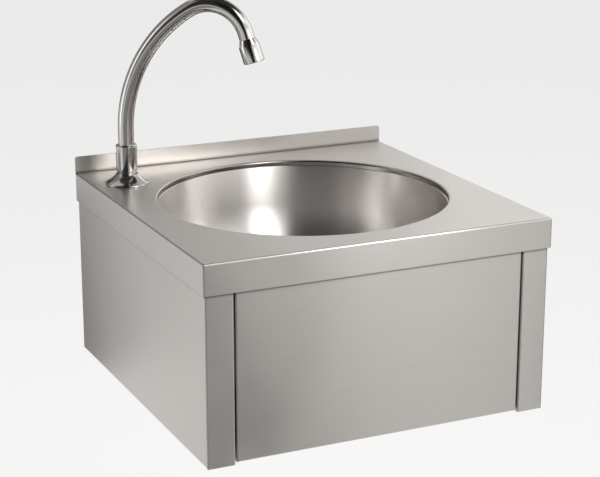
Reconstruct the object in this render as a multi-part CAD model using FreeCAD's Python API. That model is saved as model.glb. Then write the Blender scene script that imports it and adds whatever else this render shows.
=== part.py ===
import FreeCAD, Part
import math
import os

# Wall hung wash sink worked by the knee. Millimetres. The origin is the middle of the back face, on the
# wall plane, level with the top of the worktop: +X to the right, -Y to the front, +Z up.

V = FreeCAD.Vector
UP, DOWN = V(0, 0, 1), V(0, 0, -1)
REAR, FRONT = V(0, 1, 0), V(0, -1, 0)
RIGHT, LEFT = V(1, 0, 0), V(-1, 0, 0)

# --- worktop and bowl ---
TOP_W = 400.0            # width of the worktop
TOP_D = 400.0            # depth of the worktop
SHEET = 1.2              # stainless sheet of the worktop and cabinet
APRON_H = 33.0           # height of the folded apron
UPSTAND_H = 19.5         # height of the rear upstand
UPSTAND_CORNER_R = 3.0   # rounding of the upstand's two top corners
FOLD_R = 2.2             # outer radius of the worktop's folds
CORNER_R = 1.6           # outer radius of the apron's front corners
FOOT_R = 1.0             # radius where the worktop turns up into the upstand
BOWL_FORWARD = 1.5       # middle of the bowl, in front of the worktop's middle
RIM_MARGIN = 38.0        # from the lip's inner face to the worktop's edge, at the narrowest
LIP_FOLD_R = 2.6         # radius over which the worktop turns down
LIP_DEPTH = 6.5          # bottom of the lip, below the worktop's top
BOWL_STEP = 1.0          # how far the bowl stands inside the lip
BOWL_WALL = 1.2          # sheet of the bowl
BOWL_DEPTH = 135.0       # depth of the bowl at the rim of the waste recess
BOWL_SIDE_DEG = 4.0      # lean of the bowl's side
BOWL_FALL_DEG = 3.0      # fall of the bowl's floor to the waste
BOWL_CURVE_R = 88.0      # radius between side and floor

# --- cabinet ---
CABINET_H = 217.0        # bottom of the cabinet, below the worktop's top
CABINET_INSET = 2.5      # cabinet stands back from the apron's outer face
STILE_W = 31.0           # front stile, as seen
STILE_RETURN = 20.0      # depth of the stile's inner return
BEND_R = 2.0             # outer radius of the cabinet's bends
SIDE_TOP_FLANGE = 12.0   # side panel's flange under the worktop
SIDE_BOTTOM_FLANGE = 20.0
SIDE_REAR_FLANGE = 18.0
RAIL_END_GAP = 0.2       # rail ends clear the bends of the side panels
RAIL_SHEET = 1.5         # sheet of the rear rails
UPPER_RAIL_TOP = -12.0   # upper rear rail, top
UPPER_RAIL_H = 58.0
LOWER_RAIL_H = 45.0
LOWER_RAIL_LIFT = 22.0   # lower rear rail, above the cabinet's bottom
REAR_RAIL_FLANGE = 14.0  # flange of each rear rail, into the cabinet
WALL_HOLE_X = 300.0      # spacing of the wall holes, across
UPPER_HOLE_DROP = 33.0   # upper wall holes, below their rail's top
LOWER_HOLE_DROP = 25.0   # lower wall holes, below their rail's top
WALL_HOLE_R = 4.5        # wall holes, for 8 mm screws

# --- front panel and its pivots ---
PANEL_GAP_SIDE = 1.5     # gap between panel and stile
PANEL_GAP_BOTTOM = 2.5   # panel ends this much above the cabinet's bottom
PANEL_TOP_Z = -10.0      # top of the panel, behind the apron
PANEL_RETURN = 16.0      # depth of the panel's side returns
PANEL_BOTTOM_RETURN = 12.0
PIVOT_Y_BACK = 10.5      # pivot axis behind the panel's front face
PIVOT_Z = -22.0
PIVOT_SHOULDER_R = 4.0
PIVOT_THREAD_R = 3.0
PIVOT_RUNNING_GAP = 0.06
BUSH_WALL = 1.2
BUSH_FLANGE_R = 7.5
BUSH_LENGTH = 5.0
PIVOT_HEAD_R = 6.5
PIVOT_HEAD_H = 3.5
PIVOT_END_GAP = 0.3
PIVOT_NUT_AF = 10.0
PIVOT_NUT_H = 5.0
PIVOT_SOCKET_AF = 5.0
PIVOT_SOCKET_DEPTH = 2.0
TAB_W = 12.0             # stop tab, across
TAB_H = 16.0             # stop tab, up
TAB_LIFT = 21.0          # middle of the stop tab, above the cabinet's bottom
BUFFER_T = 2.5           # rubber stop buffer
BUFFER_GAP = 0.2         # buffer to the stile's return, at rest
STIFFENER_H = 36.0       # hat section on the panel's back
STIFFENER_DEPTH = 10.0
STIFFENER_END_GAP = 18.8 # from the stiffener's end to the panel's side return
STIFFENER_FLANGE = 8.0
PAD_R = 12.0             # rubber strike pad
PAD_T = 3.0

# --- push valve ---
VALVE_X = -95.0
VALVE_LIFT = 42.0        # valve's axis, above the cabinet's bottom
PLUNGER_GAP = 0.3        # plunger head to strike pad, at rest
PLUNGER_HEAD_R = 10.0
PLUNGER_HEAD_H = 5.0
PLUNGER_DOME_R = 40.0
PLUNGER_ROD_R = 5.0
RUNNING_GAP = 0.06       # radial clearance of turning and sliding fits
PLUNGER_TRAVEL = 11.0    # room for the plunger inside the valve
SPRING_LENGTH = 17.0
SPRING_WIRE_R = 0.7
SPRING_R = 7.4
SPRING_COILS = 4
GLAND_AF = 26.0
GLAND_H = 7.0
GLAND_SPIGOT = 8.0
PISTON_R = 8.0
PISTON_L = 12.0
PISTON_SEAL_W = 2.4
PISTON_SEAL_DEPTH = 1.5
NECK_R = 15.0            # threaded neck, through the rail
NECK_L = 14.0
NECK_HOLE_GAP = 0.25
LOCKNUT_AF = 38.0
LOCKNUT_H = 6.0
BARREL_R = 19.0
BARREL_L = 58.0
CROSS_R = 13.5
CROSS_Y_BACK = 40.0      # cross barrel's axis behind the barrel's front
CROSS_LEFT = 42.0        # reach of the cross barrel to the left
CROSS_RIGHT = 40.0
INLET_SPACING = 60.0
INLET_DROP = 34.0        # end of an inlet, below the valve's axis
INLET_COLLAR_DROP = 16.0 # where the inlet's thread begins, below the valve's axis
THREAD_HALF_R = 10.48    # G 1/2 male thread, outside radius
INLET_BORE_R = 7.2
OUTLET_L = 14.0
OUTLET_BORE_R = 7.0
CHAMBER_R = 7.0
SPINDLE_L = 24.0
SPINDLE_HEAD_L = 9.0
SPINDLE_SLOT_W = 1.6
SPINDLE_SLOT_DEPTH = 2.0
CHECK_VALVE_L = 10.0
CHECK_VALVE_RIM = 2.0
FILTER_T = 2.0
FILTER_HOLE_R = 1.0
FILTER_LIFT = 3.0        # filter washer above the inlet's end
INSERT_GAP = 0.1         # radial gap round pieces pushed into a bore

# --- valve rail ---
VALVE_RAIL_SHEET = 2.0
VALVE_RAIL_H = 58.0
VALVE_RAIL_FOOT = 22.0
RAIL_SCREW_R = 2.5
RAIL_SCREW_INSET = 10.0  # from the side panel's inner face
RAIL_SCREW_PITCH = 11.0
RAIL_SCREW_HEAD_R = 4.5
RAIL_SCREW_HEAD_H = 2.5
RAIL_NUT_AF = 8.0
RAIL_NUT_H = 4.0
SCREW_END = 1.5          # screw end past its nut

# --- tap ---
TAP_SIDE_INSET = 40.0    # tap's axis from the worktop's left edge
TAP_REAR_INSET = 69.0    # tap's axis from the wall
FLANGE_R = 25.0
FLANGE_RIM_H = 2.6
FLANGE_TOP_R = 12.6
FLANGE_TOP_Z = 11.5
GASKET_R = 20.0
GASKET_T = 1.5
SHANK_R = 10.45
SHANK_BORE_R = 6.0
SHANK_END_Z = -52.0
SHANK_TOP_Z = 36.0
SPOUT_SEAT_Z = 13.7
COLLAR_R = 12.0
COLLAR_BOTTOM_R = 9.9
COLLAR_TAPER = 4.5
COLLAR_TOP_Z = 45.5
COLLAR_LIP = 7.0
COLLAR_CHAMFER = 1.2
THREAD_GAP = 0.06        # radial gap of screwed fits
TAP_HOLE_GAP = 0.6
CLAMP_WASHER_R = 18.0
CLAMP_WASHER_T = 2.0
BACKNUT_AF = 30.0
BACKNUT_H = 7.0
SPOUT_R = 9.0            # outside radius of the spout tube
SPOUT_WALL = 1.2
SPOUT_END_GAP = 0.3      # spout end above its seat
SPOUT_RISER_Z = 62.2     # where the riser starts to bend
SPOUT_BEND_1_R = 165.0
SPOUT_BEND_1_DEG = 58.6
SPOUT_BEND_2_R = 43.4
SPOUT_BEND_2_DEG = 103.7
SPOUT_TAIL_L = 33.4      # straight end, to the mouth of the aerator
SPOUT_TURN_DEG = -40.0   # the spout points to the bowl, from +X
SEAL_W = 1.6
SEAL_DEPTH = 0.6
SEAL_PITCH = 6.0
CLIP_R = 10.1
CLIP_T = 1.4
AERATOR_R = 12.1
AERATOR_L = 26.5
AERATOR_CONE_L = 6.5
AERATOR_SOCKET_L = 10.0
AERATOR_CHAMFER = 0.9
AERATOR_EDGE = 0.5       # blunt upper edge of the housing
AERATOR_WASHER_T = 1.5
AERATOR_WASHER_BORE_R = 6.0
AERATOR_BORE_R = 10.3
AERATOR_LIP_H = 1.5
AERATOR_LIP_R = 9.4
AERATOR_HOLE_R = 1.15
AERATOR_HOLE_PITCH = 3.3

# --- hose ---
HOSE_R = 5.0
HOSE_BEND_SMALL_TURN_R = 120.0
HOSE_BEND_UP_R = 60.0
HOSE_FIRST_RUN = 53.0    # from the valve's end to where the hose turns off its axis
FERRULE_R = 6.5
FERRULE_L = 20.0
FERRULE_FLANGE_R = 9.5
FERRULE_FLANGE_T = 2.0
FERRULE_BORE_R = 3.5
HOSE_SEAT = 4.0          # hose starts this far from the thread's end
UNION_AF = 24.0
UNION_GRIP = 10.0        # thread held in the union nut
UNION_WALL = 3.0

# --- waste ---
RECESS_R = 34.0
RECESS_DEPTH = 3.0
WASTE_HOLE_R = 23.0
WASTE_GASKET_T = 1.5
WASTE_GASKET_IN_R = 24.5
STRAINER_R = 31.5
STRAINER_T = 2.0
STRAINER_SKIRT_R = 22.5
STRAINER_SKIRT_WALL = 1.5
STRAINER_SKIRT_L = 9.0
STRAINER_HOLE_R = 2.5
STRAINER_INNER_R = 10.0  # inner ring of holes
STRAINER_INNER_HOLES = 6
STRAINER_OUTER_R = 16.5  # outer ring of holes
STRAINER_OUTER_HOLES = 12
LOWER_GASKET_T = 3.0
WASTE_FLANGE_R = 33.0
WASTE_FLANGE_T = 4.0
WASTE_CUP_R = 27.0
WASTE_CUP_DROP = 23.8    # where the cup has narrowed to the tail, below the cup's top
TAIL_R = 20.95           # G 1 1/4 male thread, outside radius
TAIL_BORE_R = 17.5
TAIL_L = 46.0
BOSS_R = 6.0
BOSS_DROP = 13.8         # top of the boss, below the cup's top
BOSS_L = 18.0
RIB_T = 2.0
RIBS = 3
WASTE_SCREW_R = 3.0
WASTE_SCREW_HEAD_R = 5.5
WASTE_SCREW_HEAD_H = 2.5
WASTE_SCREW_END_GAP = 4.0  # screw's end, above the boss's bottom
CUT_MORE = 5.0           # how far a cutting tool runs past the face
NUT_CORNER_TRIM = 0.4    # turned off the corners of nuts

# --- places worked out from the sizes above ---
bowl_y = -TOP_D / 2 - BOWL_FORWARD
lip_r = min(TOP_W, TOP_D) / 2 - RIM_MARGIN
tap_x = -TOP_W / 2 + TAP_SIDE_INSET
tap_y = -TAP_REAR_INSET
side_x = TOP_W / 2 - CABINET_INSET            # outer face of a side panel
inner_x = side_x - SHEET                      # inner face of a side panel
rail_half = side_x - BEND_R - RAIL_END_GAP    # half the length of a rail
front_y = -TOP_D + CABINET_INSET              # front face of stiles and panel
stile_x = side_x - STILE_W                    # inner edge of a stile
return_end_y = front_y + STILE_RETURN         # rear edge of a stile's return
panel_x = stile_x - PANEL_GAP_SIDE            # outer face of the panel's side return
panel_bottom_z = -CABINET_H + PANEL_GAP_BOTTOM
stiffener_half = panel_x - SHEET - STIFFENER_END_GAP
lower_rail_top = -CABINET_H + LOWER_RAIL_LIFT + LOWER_RAIL_H
tab_z = -CABINET_H + TAB_LIFT
valve_z = -CABINET_H + VALVE_LIFT
inlet_end_z = valve_z - INLET_DROP
pivot_y = front_y + PIVOT_Y_BACK
stiffener_back_y = front_y + SHEET + STIFFENER_DEPTH
pad_back_y = stiffener_back_y + PAD_T
plunger_tip_y = pad_back_y + PLUNGER_GAP
head_back_y = plunger_tip_y + PLUNGER_HEAD_H
gland_front_y = head_back_y + SPRING_LENGTH
neck_front_y = gland_front_y + GLAND_H
barrel_front_y = neck_front_y + NECK_L
barrel_rear_y = barrel_front_y + BARREL_L
outlet_end_y = barrel_rear_y + OUTLET_L
rail_front_y = barrel_front_y - VALVE_RAIL_SHEET
cross_y = barrel_front_y + CROSS_Y_BACK
spindle_x = VALVE_X + CROSS_RIGHT
bore_front_y = neck_front_y
piston_front_y = neck_front_y + GLAND_SPIGOT + PIVOT_END_GAP
bore_end_y = piston_front_y + PISTON_L + PLUNGER_TRAVEL
under_recess_z = -BOWL_DEPTH - RECESS_DEPTH - BOWL_WALL
strainer_top_z = -BOWL_DEPTH - RECESS_DEPTH + WASTE_GASKET_T + STRAINER_T
waste_top_z = under_recess_z - LOWER_GASKET_T
funnel_z = waste_top_z - WASTE_CUP_DROP
tail_end_z = funnel_z - TAIL_L
boss_top_z = waste_top_z - BOSS_DROP
boss_bottom_z = boss_top_z - BOSS_L
bottom_flange_top_z = -CABINET_H + SHEET
bush_r = PIVOT_SHOULDER_R + PIVOT_RUNNING_GAP + BUSH_WALL


def box(low, high):
    return Part.makeBox(high[0] - low[0], high[1] - low[1], high[2] - low[2], V(*low))


def rod(radius, start, axis, length):
    return Part.makeCylinder(radius, length, start, axis)


def ring(outer, inner, start, axis, length):
    hole = rod(inner, start - axis * CUT_MORE, axis, length + 2 * CUT_MORE)
    return rod(outer, start, axis, length).cut(hole)


def hexagon(across_flats, start, axis, length):
    """A six sided prism along an axis."""
    across_corners = across_flats / math.sqrt(3)
    side = axis.cross(UP if abs(axis.z) < 0.5 else RIGHT)
    other = axis.cross(side)
    turns = [math.radians(60 * step) for step in range(7)]
    corners = [start + side * (across_corners * math.cos(a)) + other * (across_corners * math.sin(a)) for a in turns]
    return Part.Face(Part.makePolygon(corners)).extrude(axis * length)


def nut(across_flats, hole_r, start, axis, length):
    hole = rod(hole_r, start - axis * CUT_MORE, axis, length + 2 * CUT_MORE)
    blank = hexagon(across_flats, start, axis, length)
    round_blank = rod(across_flats / math.sqrt(3) - NUT_CORNER_TRIM, start, axis, length)
    return blank.common(round_blank).cut(hole)


def joined(shapes):
    return shapes[0].multiFuse(shapes[1:]).removeSplitter()


def rounded(shape, radius, wanted):
    """Fillets the edges for which wanted(edge) is true."""
    edges = [edge for edge in shape.Edges if wanted(edge)]
    return shape.makeFillet(radius, edges)


def near(value, target, margin=0.01):
    return abs(value - target) < margin


def turned(edges, place, axis=UP):
    """Revolves a closed outline of edges, drawn in the XZ plane, and sets it at its place along an axis."""
    face = Part.Face(Part.Wire(Part.__sortEdges__(edges)))
    solid = face.revolve(V(0, 0, 0), UP, 360)
    solid.Placement = FreeCAD.Placement(place, FreeCAD.Rotation(UP, axis))
    return solid


def outline(points):
    """Straight edges round (radius, height) points."""
    corners = [V(r, 0, z) for r, z in points]
    corners.append(corners[0])
    return [Part.LineSegment(a, b).toShape() for a, b in zip(corners, corners[1:])]


def bent_path(points, radii):
    """A wire of straight runs joined by tangent arcs, one radius for each inner point."""
    edges = []
    start = points[0]
    for before, corner, after, radius in zip(points, points[1:], points[2:], radii):
        arriving = (corner - before).normalize()
        leaving = (after - corner).normalize()
        turn = arriving.getAngle(leaving)
        tangent = radius * math.tan(turn / 2)
        begin = corner - arriving * tangent
        end = corner + leaving * tangent
        inward = (leaving - arriving).normalize()
        middle = corner + inward * (radius / math.cos(turn / 2) - radius)
        edges.append(Part.LineSegment(start, begin).toShape())
        edges.append(Part.Arc(begin, middle, end).toShape())
        start = end
    edges.append(Part.LineSegment(start, points[-1]).toShape())
    return Part.Wire(edges)


def sheet_profile(points, thickness, bend_r=BEND_R):
    """A folded sheet's section: the outer line, bent, with its thickness to the inside."""
    line = bent_path(points, [bend_r] * (len(points) - 2))
    sections = [line.makeOffset2D(side * thickness, openResult=True, fill=True) for side in (-1, 1)]
    return min(sections, key=lambda section: section.BoundBox.DiagonalLength)


def tube_along(path, radius):
    start = path.Edges[0].Vertexes[0].Point
    axis = path.Edges[0].tangentAt(path.Edges[0].FirstParameter)
    circle = Part.Wire(Part.makeCircle(radius, start, axis))
    return path.makePipeShell([circle], True, False)


def mirrored(shape):
    return shape.mirror(V(0, 0, 0), RIGHT)


def worktop():
    half = TOP_W / 2
    body = box((-half, -TOP_D, -APRON_H), (half, 0, 0))
    body = rounded(body, CORNER_R, lambda e: near(e.BoundBox.YMax, -TOP_D) and e.BoundBox.ZLength > 1)
    body = rounded(body, FOLD_R, lambda e: near(e.BoundBox.ZMin, 0) and e.BoundBox.YMin < -1)
    hollow = box((-half + SHEET, -TOP_D + SHEET, -APRON_H - CUT_MORE), (half - SHEET, CUT_MORE, -SHEET))
    inner_fold = FOLD_R - SHEET
    hollow = rounded(hollow, inner_fold, lambda e: near(e.BoundBox.ZMin, -SHEET) and e.BoundBox.YMin < -SHEET)
    body = body.cut(hollow)
    upstand = box((-half, -SHEET, -SHEET), (half, 0, UPSTAND_H))
    upstand = rounded(upstand, UPSTAND_CORNER_R,
                      lambda e: near(e.BoundBox.ZMin, UPSTAND_H) and near(e.BoundBox.YLength, SHEET))
    foot = box((-half, -SHEET - FOOT_R, -SHEET / 2), (half, -SHEET, FOOT_R))
    foot = foot.cut(rod(FOOT_R, V(-half - 1, -SHEET - FOOT_R, FOOT_R), RIGHT, TOP_W + 2))
    body = joined([body, upstand, foot])
    body = body.cut(rod(lip_r + LIP_FOLD_R, V(0, bowl_y, -APRON_H), UP, APRON_H + CUT_MORE))
    body = body.cut(rod(SHANK_R + TAP_HOLE_GAP, V(tap_x, tap_y, -APRON_H), UP, APRON_H + CUT_MORE))
    return joined([body, rim_lip()])


def rim_lip():
    """The ring where the worktop turns down into the bowl."""
    outer_r, inner_r = lip_r + LIP_FOLD_R, lip_r
    inner_fold = LIP_FOLD_R - SHEET
    diagonal = math.sqrt(0.5)
    top, side, end = V(outer_r, 0, 0), V(inner_r, 0, -LIP_FOLD_R), V(inner_r, 0, -LIP_DEPTH)
    end_out, side_out = V(inner_r + SHEET, 0, -LIP_DEPTH), V(inner_r + SHEET, 0, -LIP_FOLD_R)
    top_under = V(outer_r, 0, -SHEET)
    middle = V(outer_r - LIP_FOLD_R * diagonal, 0, -LIP_FOLD_R + LIP_FOLD_R * diagonal)
    under_middle = V(outer_r - inner_fold * diagonal, 0, -LIP_FOLD_R + inner_fold * diagonal)
    edges = [Part.Arc(top, middle, side).toShape(), Part.LineSegment(side, end).toShape(),
             Part.LineSegment(end, end_out).toShape(), Part.LineSegment(end_out, side_out).toShape(),
             Part.Arc(side_out, under_middle, top_under).toShape(), Part.LineSegment(top_under, top).toShape()]
    return turned(edges, V(0, bowl_y, 0))


def bowl():
    lean, fall = math.radians(BOWL_SIDE_DEG), math.radians(BOWL_FALL_DEG)
    rim = V(lip_r - BOWL_STEP, 0, -LIP_DEPTH)
    floor = V(RECESS_R, 0, -BOWL_DEPTH)
    down, out = V(-math.sin(lean), 0, -math.cos(lean)), V(math.cos(fall), 0, math.sin(fall))
    # the side line and the floor line cross at the corner
    gap = floor - rim
    along = (gap.x * out.z - gap.z * out.x) / (down.x * out.z - down.z * out.x)
    corner = rim + down * along
    inner = bent_path([rim, corner, floor], [BOWL_CURVE_R])
    side_out, floor_out = V(math.cos(lean), 0, -math.sin(lean)), V(math.sin(fall), 0, -math.cos(fall))
    side_top = rim + side_out * BOWL_WALL
    side_top = side_top + down * ((side_top.z + LIP_DEPTH) / math.cos(lean))
    floor_end = floor + floor_out * BOWL_WALL
    step_r = RECESS_R + BOWL_WALL
    floor_end = floor_end + out * ((step_r - floor_end.x) / math.cos(fall))
    outer_corner = corner + side_out * BOWL_WALL + down * (BOWL_WALL * math.tan((math.pi / 2 - lean - fall) / 2))
    outer = bent_path([side_top, outer_corner, floor_end], [BOWL_CURVE_R + BOWL_WALL])
    recess_z = -BOWL_DEPTH - RECESS_DEPTH
    steps = [floor, V(RECESS_R, 0, recess_z), V(WASTE_HOLE_R, 0, recess_z),
             V(WASTE_HOLE_R, 0, under_recess_z), V(step_r, 0, under_recess_z), floor_end]
    edges = inner.Edges + outer.Edges + [Part.LineSegment(rim, side_top).toShape()]
    edges += [Part.LineSegment(a, b).toShape() for a, b in zip(steps, steps[1:])]
    return turned(edges, V(0, bowl_y, 0))


def left_side_panel():
    line = [V(-side_x + SIDE_REAR_FLANGE, 0, 0), V(-side_x, 0, 0), V(-side_x, front_y, 0),
            V(-stile_x, front_y, 0), V(-stile_x, return_end_y, 0)]
    section = sheet_profile(line, SHEET)
    top_z = -SHEET
    body = section.extrude(UP * (CABINET_H + top_z))
    body.translate(V(0, 0, -CABINET_H))
    corner_room = BEND_R
    top = box((-inner_x - SHEET / 2, front_y + STILE_RETURN, top_z - SHEET),
              (-inner_x + SIDE_TOP_FLANGE, -SIDE_REAR_FLANGE, top_z))
    bottom = box((-inner_x - SHEET / 2, front_y + corner_room, -CABINET_H),
                 (-inner_x + SIDE_BOTTOM_FLANGE, -corner_room, -CABINET_H + SHEET))
    body = joined([body, top, bottom])
    corner_cut = box((-side_x - 1, front_y - 1, top_z - FOLD_R), (-inner_x - 0.01, 1, top_z + 1))
    front_cut = box((-side_x - 1, front_y - 1, top_z - FOLD_R), (-stile_x + 1, front_y + SHEET, top_z + 1))
    body = body.cut(corner_cut).cut(front_cut)
    hole = rod(PIVOT_THREAD_R + THREAD_GAP, V(-stile_x - CUT_MORE, pivot_y, PIVOT_Z), RIGHT, 2 * CUT_MORE)
    body = body.cut(hole)
    for place in rail_screw_places():
        body = body.cut(rod(RAIL_SCREW_R + THREAD_GAP, place - UP * CUT_MORE, UP, 2 * CUT_MORE))
    return body


def rail_screw_places():
    """Screws that hold the left end of the valve rail to the side panel's bottom flange."""
    x = -inner_x + RAIL_SCREW_INSET
    middle = rail_front_y + VALVE_RAIL_SHEET + VALVE_RAIL_FOOT / 2
    return [V(x, middle + side * RAIL_SCREW_PITCH / 2, -CABINET_H) for side in (-1, 1)]


def rear_rail(top_z, height, hole_drop):
    """A rail inside the side panels' rear flanges, with two wall holes and a flange at each edge."""
    low_z = top_z - height
    line = [V(0, -SHEET - REAR_RAIL_FLANGE, top_z), V(0, -SHEET, top_z),
            V(0, -SHEET, low_z), V(0, -SHEET - REAR_RAIL_FLANGE, low_z)]
    rail = sheet_profile(line, RAIL_SHEET).extrude(RIGHT * (2 * rail_half))
    rail.translate(LEFT * rail_half)
    for side in (-1, 1):
        place = V(side * WALL_HOLE_X / 2, -SHEET - RAIL_SHEET - CUT_MORE, top_z - hole_drop)
        rail = rail.cut(rod(WALL_HOLE_R, place, REAR, RAIL_SHEET + 2 * CUT_MORE))
    return rail


def valve_rail():
    """Cross channel on the two bottom flanges, with the hole for the valve's neck."""
    low = bottom_flange_top_z
    line = [V(0, rail_front_y, low + VALVE_RAIL_H), V(0, rail_front_y, low),
            V(0, rail_front_y + VALVE_RAIL_SHEET + VALVE_RAIL_FOOT, low)]
    section = sheet_profile(line, VALVE_RAIL_SHEET, VALVE_RAIL_SHEET + 1)
    rail = section.extrude(RIGHT * (2 * rail_half))
    rail.translate(LEFT * rail_half)
    hole = rod(NECK_R + NECK_HOLE_GAP, V(VALVE_X, rail_front_y - CUT_MORE, valve_z), REAR, 4 * CUT_MORE)
    rail = rail.cut(hole)
    for place in rail_screw_places():
        tool = rod(RAIL_SCREW_R + THREAD_GAP, place, UP, 2 * CUT_MORE)
        rail = rail.cut(tool).cut(mirrored(tool))
    return rail


def rail_screws():
    shapes = []
    for place in rail_screw_places():
        length = SHEET + VALVE_RAIL_SHEET + RAIL_NUT_H + SCREW_END
        head = rod(RAIL_SCREW_HEAD_R, place + DOWN * RAIL_SCREW_HEAD_H, UP, RAIL_SCREW_HEAD_H)
        screw = joined([head, rod(RAIL_SCREW_R, place, UP, length)])
        shapes += [screw, mirrored(screw)]
    return Part.makeCompound(shapes)


def rail_nuts():
    shapes = []
    for place in rail_screw_places():
        start = place + UP * (SHEET + VALVE_RAIL_SHEET)
        piece = nut(RAIL_NUT_AF, RAIL_SCREW_R, start, UP, RAIL_NUT_H)
        shapes += [piece, mirrored(piece)]
    return Part.makeCompound(shapes)


def front_panel():
    """A pan, open to the rear, with pivot holes in its ears and stop tabs behind the stiles."""
    back_y = front_y + PANEL_RETURN
    line = [V(-panel_x, back_y, 0), V(-panel_x, front_y, 0), V(panel_x, front_y, 0), V(panel_x, back_y, 0)]
    height = PANEL_TOP_Z - panel_bottom_z
    pan = sheet_profile(line, SHEET).extrude(UP * height)
    pan.translate(UP * panel_bottom_z)
    inside = panel_x - SHEET / 2
    bottom = box((-inside, front_y + SHEET / 2, panel_bottom_z),
                 (inside, front_y + PANEL_BOTTOM_RETURN, panel_bottom_z + SHEET))
    pan = joined([pan, bottom] + [tab for side in (-1, 1) for tab in stop_tab(side)])
    outer_edge = lambda e: near(e.BoundBox.ZMax, panel_bottom_z) and near(e.BoundBox.YMax, front_y)
    pan = rounded(pan, SHEET * 0.8, outer_edge)
    for side in (-1, 1):
        start = V(side * (panel_x + CUT_MORE), pivot_y, PIVOT_Z)
        pan = pan.cut(rod(bush_r, start, RIGHT * -side, 3 * CUT_MORE))
    return pan


def stop_tab(side):
    """Two plates: one carries on the panel's return, one turns out behind the stile's return."""
    low, high = tab_z - TAB_H / 2, tab_z + TAB_H / 2
    tab_front_y = return_end_y + BUFFER_GAP + BUFFER_T
    inner = side * (panel_x - SHEET)
    outer = side * panel_x
    end = side * (panel_x + TAB_W)
    arm = box((min(inner, outer), front_y + PANEL_RETURN - 1, low),
              (max(inner, outer), tab_front_y + SHEET, high))
    tab = box((min(inner, end), tab_front_y, low), (max(inner, end), tab_front_y + SHEET, high))
    return [arm, tab]


def stop_buffers():
    shapes = []
    for side in (-1, 1):
        near_x, far_x = side * (panel_x + 0.5), side * (panel_x + TAB_W - 0.5)
        low = (min(near_x, far_x), return_end_y + BUFFER_GAP, tab_z - TAB_H / 2 + 1)
        high = (max(near_x, far_x), return_end_y + BUFFER_GAP + BUFFER_T, tab_z + TAB_H / 2 - 1)
        shapes.append(box(low, high))
    return Part.makeCompound(shapes)


def panel_stiffener():
    """Hat section along the panel's back, at the height of the valve."""
    wall_y = front_y + SHEET
    top, low = valve_z + STIFFENER_H / 2, valve_z - STIFFENER_H / 2
    hollow = box((-stiffener_half, wall_y - 1, low + SHEET), (stiffener_half, stiffener_back_y - SHEET, top - SHEET))
    hat = box((-stiffener_half, wall_y, low), (stiffener_half, stiffener_back_y, top)).cut(hollow)
    flanges = box((-stiffener_half, wall_y, low - STIFFENER_FLANGE),
                  (stiffener_half, wall_y + SHEET, top + STIFFENER_FLANGE))
    return joined([hat, flanges.cut(hollow)])


def strike_pad():
    return rod(PAD_R, V(VALVE_X, stiffener_back_y, valve_z), REAR, PAD_T)


def pivot_screw(side):
    """Shoulder screw from inside, through the bush, into the stile's return."""
    inward = RIGHT * -side
    face = V(side * stile_x, pivot_y, PIVOT_Z)
    shoulder_l = PANEL_GAP_SIDE + BUSH_LENGTH + PIVOT_END_GAP
    thread_l = SHEET + PIVOT_NUT_H + SCREW_END
    shoulder = rod(PIVOT_SHOULDER_R, face, inward, shoulder_l)
    head = rod(PIVOT_HEAD_R, face + inward * shoulder_l, inward, PIVOT_HEAD_H)
    thread = rod(PIVOT_THREAD_R, face, inward * -1, thread_l)
    socket_start = face + inward * (shoulder_l + PIVOT_HEAD_H - PIVOT_SOCKET_DEPTH)
    socket = hexagon(PIVOT_SOCKET_AF, socket_start, inward, PIVOT_SOCKET_DEPTH + CUT_MORE)
    return joined([shoulder, head, thread]).cut(socket)


def pivot_bush(side):
    inward = RIGHT * -side
    face = V(side * panel_x, pivot_y, PIVOT_Z)
    hole_r = PIVOT_SHOULDER_R + PIVOT_RUNNING_GAP
    flange_t = PANEL_GAP_SIDE - PIVOT_END_GAP
    barrel = ring(bush_r, hole_r, face, inward, BUSH_LENGTH)
    flange = ring(BUSH_FLANGE_R, hole_r, face, inward * -1, flange_t)
    return joined([barrel, flange])


def pivot_nut(side):
    start = V(side * (stile_x + SHEET), pivot_y, PIVOT_Z)
    return nut(PIVOT_NUT_AF, PIVOT_THREAD_R, start, RIGHT * side, PIVOT_NUT_H)


def valve_body():
    """Barrel with a threaded neck, a cross barrel with two inlets down and an outlet to the rear."""
    axis = V(VALVE_X, 0, valve_z)
    neck = rod(NECK_R, axis + REAR * neck_front_y, REAR, NECK_L)
    barrel = rod(BARREL_R, axis + REAR * barrel_front_y, REAR, BARREL_L)
    outlet = rod(THREAD_HALF_R, axis + REAR * barrel_rear_y, REAR, OUTLET_L)
    barrel = barrel.makeChamfer(2.0, [e for e in barrel.Edges if isinstance(e.Curve, Part.Circle)])
    cross_start = V(VALVE_X - CROSS_LEFT, cross_y, valve_z)
    cross = rod(CROSS_R, cross_start, RIGHT, CROSS_LEFT + CROSS_RIGHT)
    solids = [barrel, neck, outlet, cross]
    for place in inlet_places():
        solids.append(rod(CROSS_R - 1, place, DOWN, INLET_COLLAR_DROP))
        solids.append(rod(THREAD_HALF_R, place, DOWN, INLET_DROP))
    body = joined(solids)
    tools = [rod(PISTON_R, axis + REAR * (bore_front_y - 1), REAR, bore_end_y - bore_front_y + 1),
             rod(OUTLET_BORE_R, axis + REAR * (bore_end_y - 1), REAR, outlet_end_y - bore_end_y + CUT_MORE),
             rod(CHAMBER_R, cross_start + RIGHT * 4, RIGHT, CROSS_LEFT + CROSS_RIGHT)]
    for place in inlet_places():
        tools.append(rod(INLET_BORE_R, place, DOWN, INLET_DROP + CUT_MORE))
    return body.cut(joined(tools))


def inlet_places():
    return [V(VALVE_X + side * INLET_SPACING / 2, cross_y, valve_z) for side in (-1, 1)]


def valve_locknut():
    start = V(VALVE_X, rail_front_y - LOCKNUT_H, valve_z)
    return nut(LOCKNUT_AF, NECK_R, start, REAR, LOCKNUT_H)


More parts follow.
